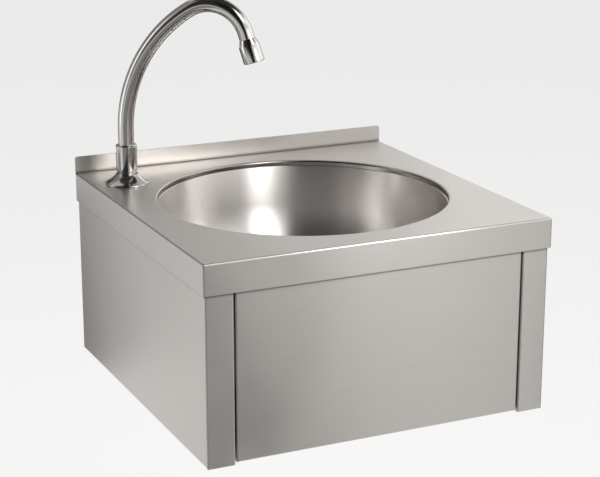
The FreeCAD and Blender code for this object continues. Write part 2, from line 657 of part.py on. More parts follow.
def valve_gland():
    """Nut that closes the valve's front and guides the plunger."""
    start = V(VALVE_X, gland_front_y, valve_z)
    head = hexagon(GLAND_AF, start, REAR, GLAND_H)
    spigot = rod(PISTON_R - THREAD_GAP, start, REAR, GLAND_H + GLAND_SPIGOT)
    hole = rod(PLUNGER_ROD_R + RUNNING_GAP, start + FRONT, REAR, GLAND_H + GLAND_SPIGOT + 2)
    return joined([head, spigot]).cut(hole)


def valve_plunger():
    """Domed head, rod and piston."""
    tip = V(VALVE_X, plunger_tip_y, valve_z)
    head = rod(PLUNGER_HEAD_R, tip, REAR, PLUNGER_HEAD_H)
    ball = Part.makeSphere(PLUNGER_DOME_R, tip + REAR * PLUNGER_DOME_R)
    head = head.common(ball)
    stem = rod(PLUNGER_ROD_R, tip + REAR, REAR, piston_front_y - plunger_tip_y)
    start = V(VALVE_X, piston_front_y, valve_z)
    piston = rod(PISTON_R - RUNNING_GAP, start, REAR, PISTON_L)
    groove = ring(PISTON_R + 1, PISTON_R - PISTON_SEAL_DEPTH, seal_start(), REAR, PISTON_SEAL_W)
    return joined([head, stem, piston.cut(groove)])


def seal_start():
    return V(VALVE_X, piston_front_y + (PISTON_L - PISTON_SEAL_W) / 2, valve_z)


def plunger_seal():
    return ring(PISTON_R - RUNNING_GAP / 2, PISTON_R - PISTON_SEAL_DEPTH, seal_start(), REAR, PISTON_SEAL_W)


def valve_spring():
    """Open coil between the plunger's head and the gland."""
    travel = SPRING_LENGTH - 2 * SPRING_WIRE_R - 0.2
    helix = Part.makeHelix(travel / SPRING_COILS, travel, SPRING_R)
    circle = Part.Wire(Part.makeCircle(SPRING_WIRE_R, V(SPRING_R, 0, 0), REAR))
    coil = Part.Wire(helix).makePipeShell([circle], True, True)
    coil.Placement = FreeCAD.Placement(V(VALVE_X, head_back_y + SPRING_WIRE_R + 0.1, valve_z),
                                       FreeCAD.Rotation(UP, REAR))
    return coil


def mixing_spindle():
    """Slotted spindle in the right end of the cross barrel."""
    radius = CHAMBER_R - RUNNING_GAP
    start = V(spindle_x - SPINDLE_L, cross_y, valve_z)
    body = rod(radius, start, RIGHT, SPINDLE_L + SPINDLE_HEAD_L)
    end_x = spindle_x + SPINDLE_HEAD_L
    low = (end_x - SPINDLE_SLOT_DEPTH, cross_y - CHAMBER_R, valve_z - SPINDLE_SLOT_W / 2)
    high = (end_x + 1, cross_y + CHAMBER_R, valve_z + SPINDLE_SLOT_W / 2)
    window_start = V(VALVE_X + INLET_SPACING / 2, cross_y, valve_z)
    window = rod(INLET_BORE_R / 2, window_start + DOWN * (2 * CHAMBER_R), UP, 4 * CHAMBER_R)
    return body.cut(box(low, high)).cut(window)


def check_valves():
    shapes = []
    for place in inlet_places():
        start = V(place.x, place.y, inlet_end_z + FILTER_LIFT + FILTER_T)
        radius = INLET_BORE_R - INSERT_GAP
        cage = ring(radius, radius - CHECK_VALVE_RIM, start, UP, CHECK_VALVE_L)
        seat = rod(radius - CHECK_VALVE_RIM + 0.5, start + UP * (CHECK_VALVE_L / 3), UP, CHECK_VALVE_L / 3)
        shapes.append(joined([cage, seat]))
    return Part.makeCompound(shapes)


def inlet_filters():
    shapes = []
    for place in inlet_places():
        start = V(place.x, place.y, inlet_end_z + FILTER_LIFT)
        disc = rod(INLET_BORE_R - INSERT_GAP, start, UP, FILTER_T)
        for step in range(6):
            angle = math.radians(60 * step)
            side = V(math.cos(angle), math.sin(angle), 0) * (INLET_BORE_R / 2)
            disc = disc.cut(rod(FILTER_HOLE_R, start + side + DOWN, UP, FILTER_T + 2))
        shapes.append(disc.cut(rod(FILTER_HOLE_R, start + DOWN, UP, FILTER_T + 2)))
    return Part.makeCompound(shapes)


def hose_ends():
    """The two threads that the hose joins, with the way it leaves each."""
    valve_end = (V(VALVE_X, outlet_end_y, valve_z), REAR)
    tap_end = (V(tap_x, tap_y, SHANK_END_Z), DOWN)
    return [valve_end, tap_end]


def union_nuts():
    shapes = []
    for place, away in hose_ends():
        start = place - away * UNION_GRIP
        length = UNION_GRIP + FERRULE_FLANGE_T + UNION_WALL
        blank = nut(UNION_AF, FERRULE_R + THREAD_GAP, start, away, length)
        thread = rod(THREAD_HALF_R, start - away, away, UNION_GRIP + FERRULE_FLANGE_T + 1)
        shapes.append(blank.cut(thread))
    return Part.makeCompound(shapes)


def hose_ferrules():
    shapes = []
    for place, away in hose_ends():
        body = joined([rod(FERRULE_FLANGE_R, place, away, FERRULE_FLANGE_T), rod(FERRULE_R, place, away, FERRULE_L)])
        body = body.cut(rod(FERRULE_BORE_R, place - away, away, FERRULE_L))
        shapes.append(body.cut(rod(HOSE_R, place + away * HOSE_SEAT, away, FERRULE_L)))
    return Part.makeCompound(shapes)


def hose_path():
    (valve_place, valve_away), (tap_place, tap_away) = hose_ends()
    start = valve_place + valve_away * HOSE_SEAT
    end = tap_place + tap_away * HOSE_SEAT
    side_step = V(VALVE_X, outlet_end_y + HOSE_FIRST_RUN, valve_z)
    below_tap = V(tap_x, tap_y, valve_z)
    return bent_path([start, side_step, below_tap, end], [HOSE_BEND_SMALL_TURN_R, HOSE_BEND_UP_R])


def spout_hose():
    return tube_along(hose_path(), HOSE_R)


def tap_flange():
    """Bell shaped cover on the worktop, hollow over its gasket."""
    rim = 0.7
    edges = outline([(SHANK_R + THREAD_GAP, GASKET_T), (GASKET_R, GASKET_T), (GASKET_R, 0), (FLANGE_R - rim, 0),
                     (FLANGE_R, rim), (FLANGE_R, FLANGE_RIM_H - rim), (FLANGE_R - rim, FLANGE_RIM_H),
                     (FLANGE_TOP_R, FLANGE_TOP_Z), (SHANK_R + THREAD_GAP, FLANGE_TOP_Z)])
    sloping = edges[6]
    start, end = sloping.Vertexes[0].Point, sloping.Vertexes[1].Point
    hollow = V(-0.6, 0, -0.9)
    edges[6] = Part.Arc(start, (start + end) * 0.5 + hollow, end).toShape()
    return turned(edges, V(tap_x, tap_y, 0))


def tap_gasket():
    return ring(GASKET_R - INSERT_GAP, SHANK_R + TAP_HOLE_GAP, V(tap_x, tap_y, 0), UP, GASKET_T)


def tap_collar():
    """Barrel screwed over the shank; its top lip guides the spout."""
    bottom = FLANGE_TOP_Z
    bore, lip = SHANK_R + THREAD_GAP, SPOUT_R + RUNNING_GAP
    points = [(bore, bottom), (COLLAR_BOTTOM_R + THREAD_GAP + 0.7, bottom), (COLLAR_R, bottom + COLLAR_TAPER),
              (COLLAR_R, COLLAR_TOP_Z - COLLAR_CHAMFER), (COLLAR_R - COLLAR_CHAMFER, COLLAR_TOP_Z),
              (lip, COLLAR_TOP_Z), (lip, COLLAR_TOP_Z - COLLAR_LIP), (bore, COLLAR_TOP_Z - COLLAR_LIP)]
    return turned(outline(points), V(tap_x, tap_y, 0))


def tap_shank():
    """Threaded tube through the worktop, with a socket for the spout at its top."""
    axis = V(tap_x, tap_y, 0)
    body = rod(SHANK_R, axis + UP * SHANK_END_Z, UP, SHANK_TOP_Z - SHANK_END_Z)
    body = body.cut(rod(SHANK_BORE_R, axis + UP * (SHANK_END_Z - 1), UP, SHANK_TOP_Z - SHANK_END_Z + 2))
    return body.cut(rod(SPOUT_R + RUNNING_GAP, axis + UP * SPOUT_SEAT_Z, UP, SHANK_TOP_Z))


def tap_clamp_washer():
    start = V(tap_x, tap_y, -SHEET - CLAMP_WASHER_T)
    return ring(CLAMP_WASHER_R, SHANK_R + TAP_HOLE_GAP, start, UP, CLAMP_WASHER_T)


def tap_backnut():
    start = V(tap_x, tap_y, -SHEET - CLAMP_WASHER_T)
    return nut(BACKNUT_AF, SHANK_R, start, DOWN, BACKNUT_H)


def spout_frames():
    """Key points of the spout's line, and the way its end points."""
    turn = math.radians(SPOUT_TURN_DEG)
    out = V(math.cos(turn), math.sin(turn), 0)
    first = math.radians(SPOUT_BEND_1_DEG)
    whole = first + math.radians(SPOUT_BEND_2_DEG)
    base = V(tap_x, tap_y, SPOUT_RISER_Z)

    def on_arc(centre, radius, angle):
        return centre + (out * -math.cos(angle) + UP * math.sin(angle)) * radius

    centre_1 = base + out * SPOUT_BEND_1_R
    joint = on_arc(centre_1, SPOUT_BEND_1_R, first)
    inward = (centre_1 - joint).normalize()
    centre_2 = joint + inward * SPOUT_BEND_2_R
    end = on_arc(centre_2, SPOUT_BEND_2_R, whole)
    away = out * math.sin(math.pi - whole) - UP * math.cos(math.pi - whole)
    middle_1 = on_arc(centre_1, SPOUT_BEND_1_R, first / 2)
    middle_2 = on_arc(centre_2, SPOUT_BEND_2_R, (first + whole) / 2)
    return base, middle_1, joint, middle_2, end, away


def spout_path(start_z, tail):
    base, middle_1, joint, middle_2, end, away = spout_frames()
    riser = Part.LineSegment(V(tap_x, tap_y, start_z), base).toShape()
    arcs = [Part.Arc(base, middle_1, joint).toShape(), Part.Arc(joint, middle_2, end).toShape()]
    last = Part.LineSegment(end, end + away * tail).toShape()
    return Part.Wire([riser] + arcs + [last])


def spout_tube():
    start_z = SPOUT_SEAT_Z + SPOUT_END_GAP
    tail = SPOUT_TAIL_L - AERATOR_L + AERATOR_SOCKET_L
    outside = tube_along(spout_path(start_z, tail), SPOUT_R)
    inside = tube_along(spout_path(start_z - 1, tail + 1), SPOUT_R - SPOUT_WALL)
    body = outside.cut(inside)
    for start in spout_seal_places():
        body = body.cut(ring(SPOUT_R + 1, SPOUT_R - SEAL_DEPTH, start, UP, SEAL_W))
    return body


def spout_seal_places():
    first_z = SPOUT_SEAT_Z + SPOUT_END_GAP + SEAL_PITCH / 2
    return [V(tap_x, tap_y, first_z + step * SEAL_PITCH) for step in range(2)]


def spout_seals():
    outer = SPOUT_R + RUNNING_GAP / 2
    return Part.makeCompound([ring(outer, SPOUT_R - SEAL_DEPTH, start, UP, SEAL_W) for start in spout_seal_places()])


def spout_clip():
    """Ring on the tube, held between the shank's top and the collar's lip."""
    room = COLLAR_TOP_Z - COLLAR_LIP - SHANK_TOP_Z
    start = V(tap_x, tap_y, SHANK_TOP_Z + (room - CLIP_T) / 2)
    return ring(CLIP_R, SPOUT_R, start, UP, CLIP_T)


def aerator_place():
    """Mouth side of the spout: where the housing begins, and its axis."""
    end, away = spout_frames()[4:]
    return end + away * (SPOUT_TAIL_L - AERATOR_L), away


def aerator_housing():
    start, away = aerator_place()
    last = AERATOR_L
    points = [(SPOUT_R, 0), (SPOUT_R + AERATOR_EDGE, 0), (AERATOR_R, AERATOR_CONE_L), (AERATOR_R, last - AERATOR_CHAMFER),
              (AERATOR_R - AERATOR_CHAMFER, last), (AERATOR_LIP_R, last), (AERATOR_LIP_R, last - AERATOR_LIP_H),
              (AERATOR_BORE_R, last - AERATOR_LIP_H), (AERATOR_BORE_R, AERATOR_SOCKET_L),
              (SPOUT_R, AERATOR_SOCKET_L)]
    return turned(outline(points), start, away)


def aerator_washer():
    start, away = aerator_place()
    outer = AERATOR_BORE_R - INSERT_GAP
    return ring(outer, AERATOR_WASHER_BORE_R, start + away * AERATOR_SOCKET_L, away, AERATOR_WASHER_T)


def aerator_insert():
    """Disc with a honeycomb of small holes, held by the housing's lip."""
    start, away = aerator_place()
    begin = AERATOR_SOCKET_L + AERATOR_WASHER_T
    length = AERATOR_L - AERATOR_LIP_H - begin
    body = rod(AERATOR_BORE_R - INSERT_GAP, start + away * begin, away, length)
    side = away.cross(UP).normalize()
    other = away.cross(side)
    tools = []
    for row in (-2, -1, 0, 1, 2):
        count = 5 - abs(row)
        for step in range(count):
            across = (step - (count - 1) / 2) * AERATOR_HOLE_PITCH
            up_step = row * AERATOR_HOLE_PITCH * math.sqrt(3) / 2
            place = start + side * across + other * up_step
            tools.append(rod(AERATOR_HOLE_R, place + away * (begin - 1), away, length + 2))
    return body.cut(Part.makeCompound(tools))


def waste_strainer():
    """Round plate in the bowl's recess, with rings of holes and a skirt."""
    top = V(0, bowl_y, strainer_top_z)
    plate = rod(STRAINER_R, top, DOWN, STRAINER_T)
    plate = plate.makeChamfer(0.6, [e for e in plate.Edges if near(e.BoundBox.ZMin, strainer_top_z)])
    skirt = ring(STRAINER_SKIRT_R, STRAINER_SKIRT_R - STRAINER_SKIRT_WALL, top, DOWN, STRAINER_SKIRT_L)
    keep = rod(STRAINER_R, top + DOWN * STRAINER_T, DOWN, STRAINER_SKIRT_L)
    body = joined([plate, skirt.common(keep)])
    tools = [rod(WASTE_SCREW_R, top + UP, DOWN, STRAINER_T + 2)]
    rings = ((STRAINER_INNER_R, STRAINER_INNER_HOLES), (STRAINER_OUTER_R, STRAINER_OUTER_HOLES))
    for radius, count in rings:
        for step in range(count):
            angle = 2 * math.pi * step / count
            place = top + V(radius * math.cos(angle), radius * math.sin(angle), 1)
            tools.append(rod(STRAINER_HOLE_R, place, DOWN, STRAINER_T + 2))
    return body.cut(Part.makeCompound(tools))


def waste_screw():
    top = V(0, bowl_y, strainer_top_z)
    head = rod(WASTE_SCREW_HEAD_R, top, UP, WASTE_SCREW_HEAD_H)
    head = rounded(head, 1.2, lambda e: near(e.BoundBox.ZMin, strainer_top_z + WASTE_SCREW_HEAD_H))
    slot = box((-WASTE_SCREW_HEAD_R, bowl_y - 0.6, strainer_top_z + 1.3),
               (WASTE_SCREW_HEAD_R, bowl_y + 0.6, strainer_top_z + WASTE_SCREW_HEAD_H + 1))
    stem = rod(WASTE_SCREW_R, top, DOWN, strainer_top_z - boss_bottom_z - WASTE_SCREW_END_GAP)
    return joined([head.cut(slot), stem])


def waste_gasket_upper():
    start = V(0, bowl_y, -BOWL_DEPTH - RECESS_DEPTH)
    return ring(STRAINER_R - 0.5, WASTE_GASKET_IN_R, start, UP, WASTE_GASKET_T)


def waste_gasket_lower():
    start = V(0, bowl_y, under_recess_z)
    return ring(WASTE_FLANGE_R - 0.5, WASTE_GASKET_IN_R, start, DOWN, LOWER_GASKET_T)


def waste_body():
    """Cup under the bowl that narrows to the threaded tail, with a boss for the screw."""
    flange_low = waste_top_z - WASTE_FLANGE_T
    outer = [(0, waste_top_z), (WASTE_FLANGE_R, waste_top_z), (WASTE_FLANGE_R, flange_low),
             (WASTE_CUP_R, flange_low), (TAIL_R, funnel_z), (TAIL_R, tail_end_z), (0, tail_end_z)]
    wall = TAIL_R - TAIL_BORE_R
    inner = [(0, waste_top_z + 1), (WASTE_CUP_R - wall, waste_top_z + 1), (WASTE_CUP_R - wall, flange_low),
             (TAIL_BORE_R, funnel_z), (TAIL_BORE_R, tail_end_z - 1), (0, tail_end_z - 1)]
    place = V(0, bowl_y, 0)
    body = turned(outline(outer), place).cut(turned(outline(inner), place))
    boss = rod(BOSS_R, place + UP * boss_bottom_z, UP, BOSS_L)
    ribs = []
    for step in range(RIBS):
        rib = box((0, bowl_y - RIB_T / 2, boss_bottom_z), (TAIL_BORE_R + 1, bowl_y + RIB_T / 2, funnel_z))
        rib.rotate(place, UP, 360 * step / RIBS)
        ribs.append(rib)
    screw_hole = rod(WASTE_SCREW_R, place + UP * (boss_bottom_z - 1), UP, BOSS_L + 2)
    return joined([body, boss] + ribs).cut(screw_hole)


def assembly():
    """Every node by name."""
    left = left_side_panel()
    return {
        "worktop": worktop(),
        "bowl": bowl(),
        "left_side_panel": left,
        "right_side_panel": mirrored(left),
        "upper_wall_rail": rear_rail(UPPER_RAIL_TOP, UPPER_RAIL_H, UPPER_HOLE_DROP),
        "lower_wall_rail": rear_rail(lower_rail_top, LOWER_RAIL_H, LOWER_HOLE_DROP),
        "valve_rail": valve_rail(),
        "rail_screws": rail_screws(),
        "rail_nuts": rail_nuts(),
        "front_panel": front_panel(),
        "panel_stiffener": panel_stiffener(),
        "strike_pad": strike_pad(),
        "stop_buffers": stop_buffers(),
        "pivot_screw_left": pivot_screw(-1),
        "pivot_screw_right": pivot_screw(1),
        "pivot_bush_left": pivot_bush(-1),
        "pivot_bush_right": pivot_bush(1),
        "pivot_nut_left": pivot_nut(-1),
        "pivot_nut_right": pivot_nut(1),
        "valve_body": valve_body(),
        "valve_locknut": valve_locknut(),
        "valve_gland": valve_gland(),
        "valve_plunger": valve_plunger(),
        "plunger_seal": plunger_seal(),
        "valve_spring": valve_spring(),
        "mixing_spindle": mixing_spindle(),
        "check_valves": check_valves(),
        "inlet_filters": inlet_filters(),
        "union_nuts": union_nuts(),
        "hose_ferrules": hose_ferrules(),
        "spout_hose": spout_hose(),
        "tap_flange": tap_flange(),
        "tap_gasket": tap_gasket(),
        "tap_collar": tap_collar(),
        "tap_shank": tap_shank(),
        "tap_clamp_washer": tap_clamp_washer(),
        "tap_backnut": tap_backnut(),
        "spout_tube": spout_tube(),
        "spout_seals": spout_seals(),
        "spout_clip": spout_clip(),
        "aerator_housing": aerator_housing(),
        "aerator_washer": aerator_washer(),
        "aerator_insert": aerator_insert(),
        "waste_strainer": waste_strainer(),
        "waste_screw": waste_screw(),
        "waste_gasket_upper": waste_gasket_upper(),
        "waste_gasket_lower": waste_gasket_lower(),
        "waste_body": waste_body(),
    }


def main():
    os.makedirs("parts", exist_ok=True)
    for name, shape in assembly().items():
        solids = shape.Solids
        sound = all(solid.isValid() and solid.Volume > 0 for solid in solids)
        print(name, len(solids), "solids, volume", round(shape.Volume, 1), "" if sound else "NOT SOUND")
        shape.exportStep("parts/" + name + ".step")
    hose = hose_path()
    print("hose length", round(hose.Length, 1), "section times length", round(math.pi * HOSE_R ** 2 * hose.Length, 1))


main()
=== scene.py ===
from math import atan2, cos, hypot, pi, radians, sin, tan

import bmesh
import bpy
from mathutils import Matrix, Vector


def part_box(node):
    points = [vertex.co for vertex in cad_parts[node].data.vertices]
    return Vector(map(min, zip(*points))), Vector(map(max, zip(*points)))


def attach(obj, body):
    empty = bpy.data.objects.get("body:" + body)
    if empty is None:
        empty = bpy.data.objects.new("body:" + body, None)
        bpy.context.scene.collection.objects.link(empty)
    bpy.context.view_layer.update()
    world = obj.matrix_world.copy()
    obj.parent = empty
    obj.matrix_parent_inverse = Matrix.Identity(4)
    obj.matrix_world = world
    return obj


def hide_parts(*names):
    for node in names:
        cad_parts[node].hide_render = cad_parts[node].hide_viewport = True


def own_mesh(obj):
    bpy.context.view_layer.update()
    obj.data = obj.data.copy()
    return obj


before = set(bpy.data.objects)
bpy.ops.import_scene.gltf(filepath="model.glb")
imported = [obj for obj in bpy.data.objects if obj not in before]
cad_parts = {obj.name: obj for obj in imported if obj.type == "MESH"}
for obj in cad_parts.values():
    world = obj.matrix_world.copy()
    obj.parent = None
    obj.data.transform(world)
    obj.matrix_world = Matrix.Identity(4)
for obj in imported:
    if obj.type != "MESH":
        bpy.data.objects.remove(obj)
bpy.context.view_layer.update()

# Stainless wash sink with a swan-neck tap and a knee panel. Metres, in the frame of the loaded parts:
# the origin is on the wall line at the worktop's rear edge, +X right, -Y front, +Z up.

upright = Vector((0, 0, 1))


def levelled(spot):  # the place on the worktop straight above or below
    return Vector((spot.x, spot.y, 0))


topLow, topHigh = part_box("worktop")
bowlLow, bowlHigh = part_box("bowl")
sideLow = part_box("left_side_panel")[0]
panelLow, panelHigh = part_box("front_panel")
collarLow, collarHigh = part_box("tap_collar")
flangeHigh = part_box("tap_flange")[1]
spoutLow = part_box("spout_tube")[0]
springLow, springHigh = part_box("valve_spring")
bowlAxis = (bowlLow + bowlHigh) / 2
holeCentre = levelled(bowlAxis)
tapFoot = levelled((collarLow + collarHigh) / 2)

sheetMetal = 0.0012
brokenEdge = 0.00025  # how far the sheet's sharp edges are rounded
fineEase, broadEase = 0.0002, 0.0003  # the same on the turned parts of the tap


def clearSelection():
    if bpy.context.object and bpy.context.object.mode != "OBJECT":
        bpy.ops.object.mode_set(mode="OBJECT")
    bpy.ops.object.select_all(action="DESELECT")


def choose(piece):  # the only piece that the next operator acts on
    clearSelection()
    bpy.context.view_layer.objects.active = piece
    piece.select_set(True)


def begin(piece):  # edit one piece, with nothing in it selected
    choose(piece)
    bpy.ops.object.mode_set(mode="EDIT")
    bpy.ops.mesh.select_all(action="DESELECT")


def pick(piece, wanted, kind="EDGE"):  # select in edit mode by place or direction
    bpy.ops.mesh.select_mode(type=kind)
    bpy.ops.mesh.select_all(action="DESELECT")
    mesh = bmesh.from_edit_mesh(piece.data)
    group = {"VERT": mesh.verts, "EDGE": mesh.edges, "FACE": mesh.faces}[kind]
    found = [item for item in group if wanted(item)]
    for item in found:
        item.select_set(True)
    mesh.select_flush_mode()
    bmesh.update_edit_mesh(piece.data)


def drawOut(x, y, z):  # extrude the selected edges by this much
    bpy.ops.mesh.extrude_edges_move(TRANSFORM_OT_translate={"value": (x, y, z)})


def middle(edge):
    return (edge.verts[0].co + edge.verts[1].co) / 2


def near(value, target, margin=1e-5):
    return abs(value - target) < margin


def applyModifier(piece, kind, **values):
    choose(piece)
    modifier = piece.modifiers.new(kind.title(), kind)
    for name, value in values.items():
        setattr(modifier, name, value)
    bpy.ops.object.modifier_apply(modifier=modifier.name)


def settle(piece):  # its place, turn and scale go into the mesh
    choose(piece)
    bpy.ops.object.transform_apply(location=True, rotation=True, scale=True)


def smooth(piece, angle):
    choose(piece)
    bpy.ops.object.shade_smooth_by_angle(angle=radians(angle))


def outwards(piece):
    begin(piece)
    bpy.ops.mesh.select_all(action="SELECT")
    bpy.ops.mesh.remove_doubles(threshold=1e-6)
    bpy.ops.mesh.normals_make_consistent(inside=False)
    bpy.ops.object.mode_set(mode="OBJECT")


def thickenSheet(piece):
    # brushing runs along U of the box mapping; then the sheet gets its thickness and its edges are broken
    begin(piece)
    bpy.ops.mesh.select_all(action="SELECT")
    bpy.ops.uv.cube_project(cube_size=1.0)
    bpy.ops.object.mode_set(mode="OBJECT")
    applyModifier(piece, "SOLIDIFY", thickness=sheetMetal, offset=-1, use_even_offset=True)
    applyModifier(piece, "BEVEL", width=brokenEdge, segments=2, limit_method="ANGLE",
                  angle_limit=radians(50))
    smooth(piece, 40)
    applyModifier(piece, "WEIGHTED_NORMAL", keep_sharp=True, weight=60)


def foldedStrip(name, plan, low, high, foldRadius):
    # one upright face, drawn from corner to corner of its plan and bent at each
    (startX, startY), (endX, endY) = plan[:2]
    clearSelection()
    bpy.ops.mesh.primitive_plane_add(
        size=1, location=((startX + endX) / 2, (startY + endY) / 2, (low + high) / 2),
        rotation=(pi / 2, 0, atan2(endY - startY, endX - startX)))
    piece = bpy.context.object
    piece.name = name
    piece.scale = (hypot(endX - startX, endY - startY), high - low, 1)
    settle(piece)
    begin(piece)
    for (hereX, hereY), (nextX, nextY) in zip(plan[1:], plan[2:]):
        pick(piece, lambda edge: edge.is_boundary and all(
            near(vert.co.x, hereX) and near(vert.co.y, hereY) for vert in edge.verts))
        drawOut(nextX - hereX, nextY - hereY, 0)
    pick(piece, lambda edge: not edge.is_boundary)
    bpy.ops.mesh.bevel(offset=foldRadius, segments=4, affect="EDGES")
    bpy.ops.object.mode_set(mode="OBJECT")
    return piece


def foldBottom(piece, onFace, low, reach, foldRadius):
    # the bottom edge of one face is drawn inwards as a flange
    def atFoot(edge):
        return onFace(middle(edge)) and near(middle(edge).z, low)

    begin(piece)
    pick(piece, lambda edge: edge.is_boundary and atFoot(edge))
    drawOut(*reach)
    pick(piece, lambda edge: not edge.is_boundary and atFoot(edge))
    bpy.ops.mesh.bevel(offset=foldRadius, segments=3, affect="EDGES")
    bpy.ops.object.mode_set(mode="OBJECT")


def coat(piece, material):
    piece.data.materials.clear()
    piece.data.materials.append(material)


def finishPiece(piece, material, body, slot, *nodes):
    coat(piece, material)
    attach(piece, body)
    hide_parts(*nodes)
    return piece


def arc(centreR, centreZ, radius, start, end, steps):
    # (radius, height) points round a corner of a turned profile
    angles = [radians(start + (end - start) * step / steps) for step in range(steps + 1)]
    return [(centreR + radius * cos(angle), centreZ + radius * sin(angle)) for angle in angles]


def turnedPiece(name, rings, segments=96):
    # a circle at the first ring, extruded and scaled from ring to ring along +Z
    clearSelection()
    firstR, firstZ = rings[0]
    bpy.ops.mesh.primitive_circle_add(vertices=segments, radius=firstR, location=(0, 0, firstZ))
    piece = bpy.context.object
    piece.name = name
    settle(piece)
    bpy.ops.object.mode_set(mode="EDIT")
    bpy.ops.mesh.select_all(action="SELECT")
    for (lastR, lastZ), (ringR, ringZ) in zip(rings, rings[1:]):
        drawOut(0, 0, ringZ - lastZ)
        share = ringR / lastR
        bpy.ops.transform.resize(value=(share, share, 1), center_override=(0, 0, ringZ))
    bpy.ops.object.mode_set(mode="OBJECT")
    return piece


def standOn(piece, place, axis=upright):  # turn the piece's +Z to an axis and move it to its place
    turn = upright.rotation_difference(Vector(axis)).to_matrix().to_4x4()
    piece.matrix_world = Matrix.Translation(place) @ turn
    settle(piece)


def connect(tree, made, inputs):  # each input gets a link or a plain value
    for name, value in inputs.items():
        if isinstance(value, bpy.types.NodeSocket):
            tree.links.new(value, made.inputs[name])
        else:
            made.inputs[name].default_value = value


def node(tree, kind, inputs=None, **settings):
    made = tree.nodes.new("ShaderNode" + kind)
    for name, value in settings.items():
        setattr(made, name, value)
    connect(tree, made, inputs or {})
    return made


def maths(tree, operation, first, second=0.0, clamp=False):
    return node(tree, "Math", {0: first, 1: second}, operation=operation, use_clamp=clamp).outputs[0]


def vectors(tree, operation, first, second):
    return node(tree, "VectorMath", {0: first, 1: second}, operation=operation).outputs


def scaled(tree, vector, share):
    return node(tree, "VectorMath", {0: vector, "Scale": share}, operation="SCALE").outputs[0]


def noise(tree, place, scale, detail=3.0, roughness=0.5, distortion=0.0):
    return node(tree, "TexNoise", {"Vector": place, "Scale": scale, "Detail": detail,
                                   "Roughness": roughness, "Distortion": distortion}).outputs["Fac"]


def newGroup(name, inputs, outputs):
    tree = bpy.data.node_groups.new(name, "ShaderNodeTree")
    for label, kind, value in inputs:
        socket = tree.interface.new_socket(label, in_out="INPUT", socket_type="NodeSocket" + kind)
        if value is not None:
            socket.default_value = value
    for label, kind in outputs:
        tree.interface.new_socket(label, in_out="OUTPUT", socket_type="NodeSocket" + kind)
    return tree, tree.nodes.new("NodeGroupInput").outputs, tree.nodes.new("NodeGroupOutput")


def brushedGrain():
    # fine lines along X, or up and down on faces that look along X, with broad cloudy patches
    tree, given, result = newGroup(
        "brushedGrain",
        [("Place", "Vector", None), ("Facing", "Vector", None), ("Fineness", "Float", 900.0),
         ("Length", "Float", 0.02), ("Cloud Size", "Float", 7.0)],
        [("Lines", "Float"), ("Clouds", "Float")])
    lines = []
    for way in ({"X": given["Length"], "Y": 1.0, "Z": 1.0}, {"X": 1.0, "Y": 1.0, "Z": given["Length"]}):
        stretch = node(tree, "CombineXYZ", way).outputs[0]
        stretched = vectors(tree, "MULTIPLY", given["Place"], stretch)[0]
        lines.append(noise(tree, stretched, given["Fineness"], roughness=0.6))
    side = node(tree, "SeparateXYZ", {0: given["Facing"]}).outputs["X"]
    sideways = maths(tree, "GREATER_THAN", maths(tree, "ABSOLUTE", side), 0.7)
    chosen = node(tree, "Mix", {"Factor": sideways, "A": lines[0], "B": lines[1]}).outputs[0]
    clouds = noise(tree, given["Place"], given["Cloud Size"], roughness=0.45, distortion=0.4)
    connect(tree, result, {"Lines": chosen, "Clouds": clouds})
    return tree


def tint():
    # a colour made a little lighter and darker by a pattern round 0.5
    tree, given, result = newGroup(
        "tint",
        [("Colour", "Color", (0.5, 0.5, 0.5, 1)), ("Pattern", "Float", 0.5), ("Amount", "Float", 0.1)],
        [("Colour", "Color")])
    swing = maths(tree, "MULTIPLY", maths(tree, "SUBTRACT", given["Pattern"], 0.5), given["Amount"])
    gain = maths(tree, "ADD", swing, 1.0)
    connect(tree, result, {"Colour": scaled(tree, given["Colour"], gain)})
    return tree


def creaseShade():
    # painted shade: 1 on open metal, less near a line where two sheets meet, darkening the colour as if
    # shade fell into the crease
    tree, given, result = newGroup(
        "creaseShade",
        [("Place", "Vector", None), ("Line Place", "Vector", (0.0, 0.0, 0.0)),
         ("Across", "Vector", (0.0, 0.0, 1.0)), ("Reach", "Float", 0.004), ("Depth", "Float", 0.5)],
        [("Factor", "Float")])
    apart = vectors(tree, "SUBTRACT", given["Place"], given["Line Place"])[0]
    across = vectors(tree, "MULTIPLY", apart, given["Across"])[0]
    distance = node(tree, "VectorMath", {0: across}, operation="LENGTH").outputs["Value"]
    share = maths(tree, "DIVIDE", distance, given["Reach"], clamp=True)
    clear = node(tree, "MapRange", {"Value": share}, interpolation_type="SMOOTHSTEP").outputs[0]
    lost = maths(tree, "MULTIPLY", maths(tree, "SUBTRACT", 1.0, clear), given["Depth"])
    connect(tree, result, {"Factor": maths(tree, "SUBTRACT", 1.0, lost)})
    return tree


grainGroup = brushedGrain()
tintGroup = tint()
creaseGroup = creaseShade()


def useGroup(tree, group, inputs):
    return node(tree, "Group", inputs, node_tree=group).outputs


def tinted(tree, colour, pattern, amount):
    return useGroup(tree, tintGroup, {"Colour": colour, "Pattern": pattern, "Amount": amount})["Colour"]


def relief(tree, height, finish):
    return node(tree, "Bump", {"Height": height, "Strength": finish["bump"],
                               "Distance": finish["bumpDepth"]}).outputs[0]


def roughnessRange(tree, pattern, low, high):
    return node(tree, "MapRange", {"Value": pattern, "From Min": 0.25, "From Max": 0.75,
                                   "To Min": low, "To Max": high}).outputs[0]


def emptyMaterial(name):
    material = bpy.data.materials.new(name)
    material.use_nodes = True
    material.node_tree.nodes.clear()
    return material, material.node_tree


def newMaterial(name):
    material, tree = emptyMaterial(name)
    shader = node(tree, "BsdfPrincipled")
    node(tree, "OutputMaterial", {"Surface": shader.outputs[0]})
    return material, tree, shader, node(tree, "TexCoord").outputs


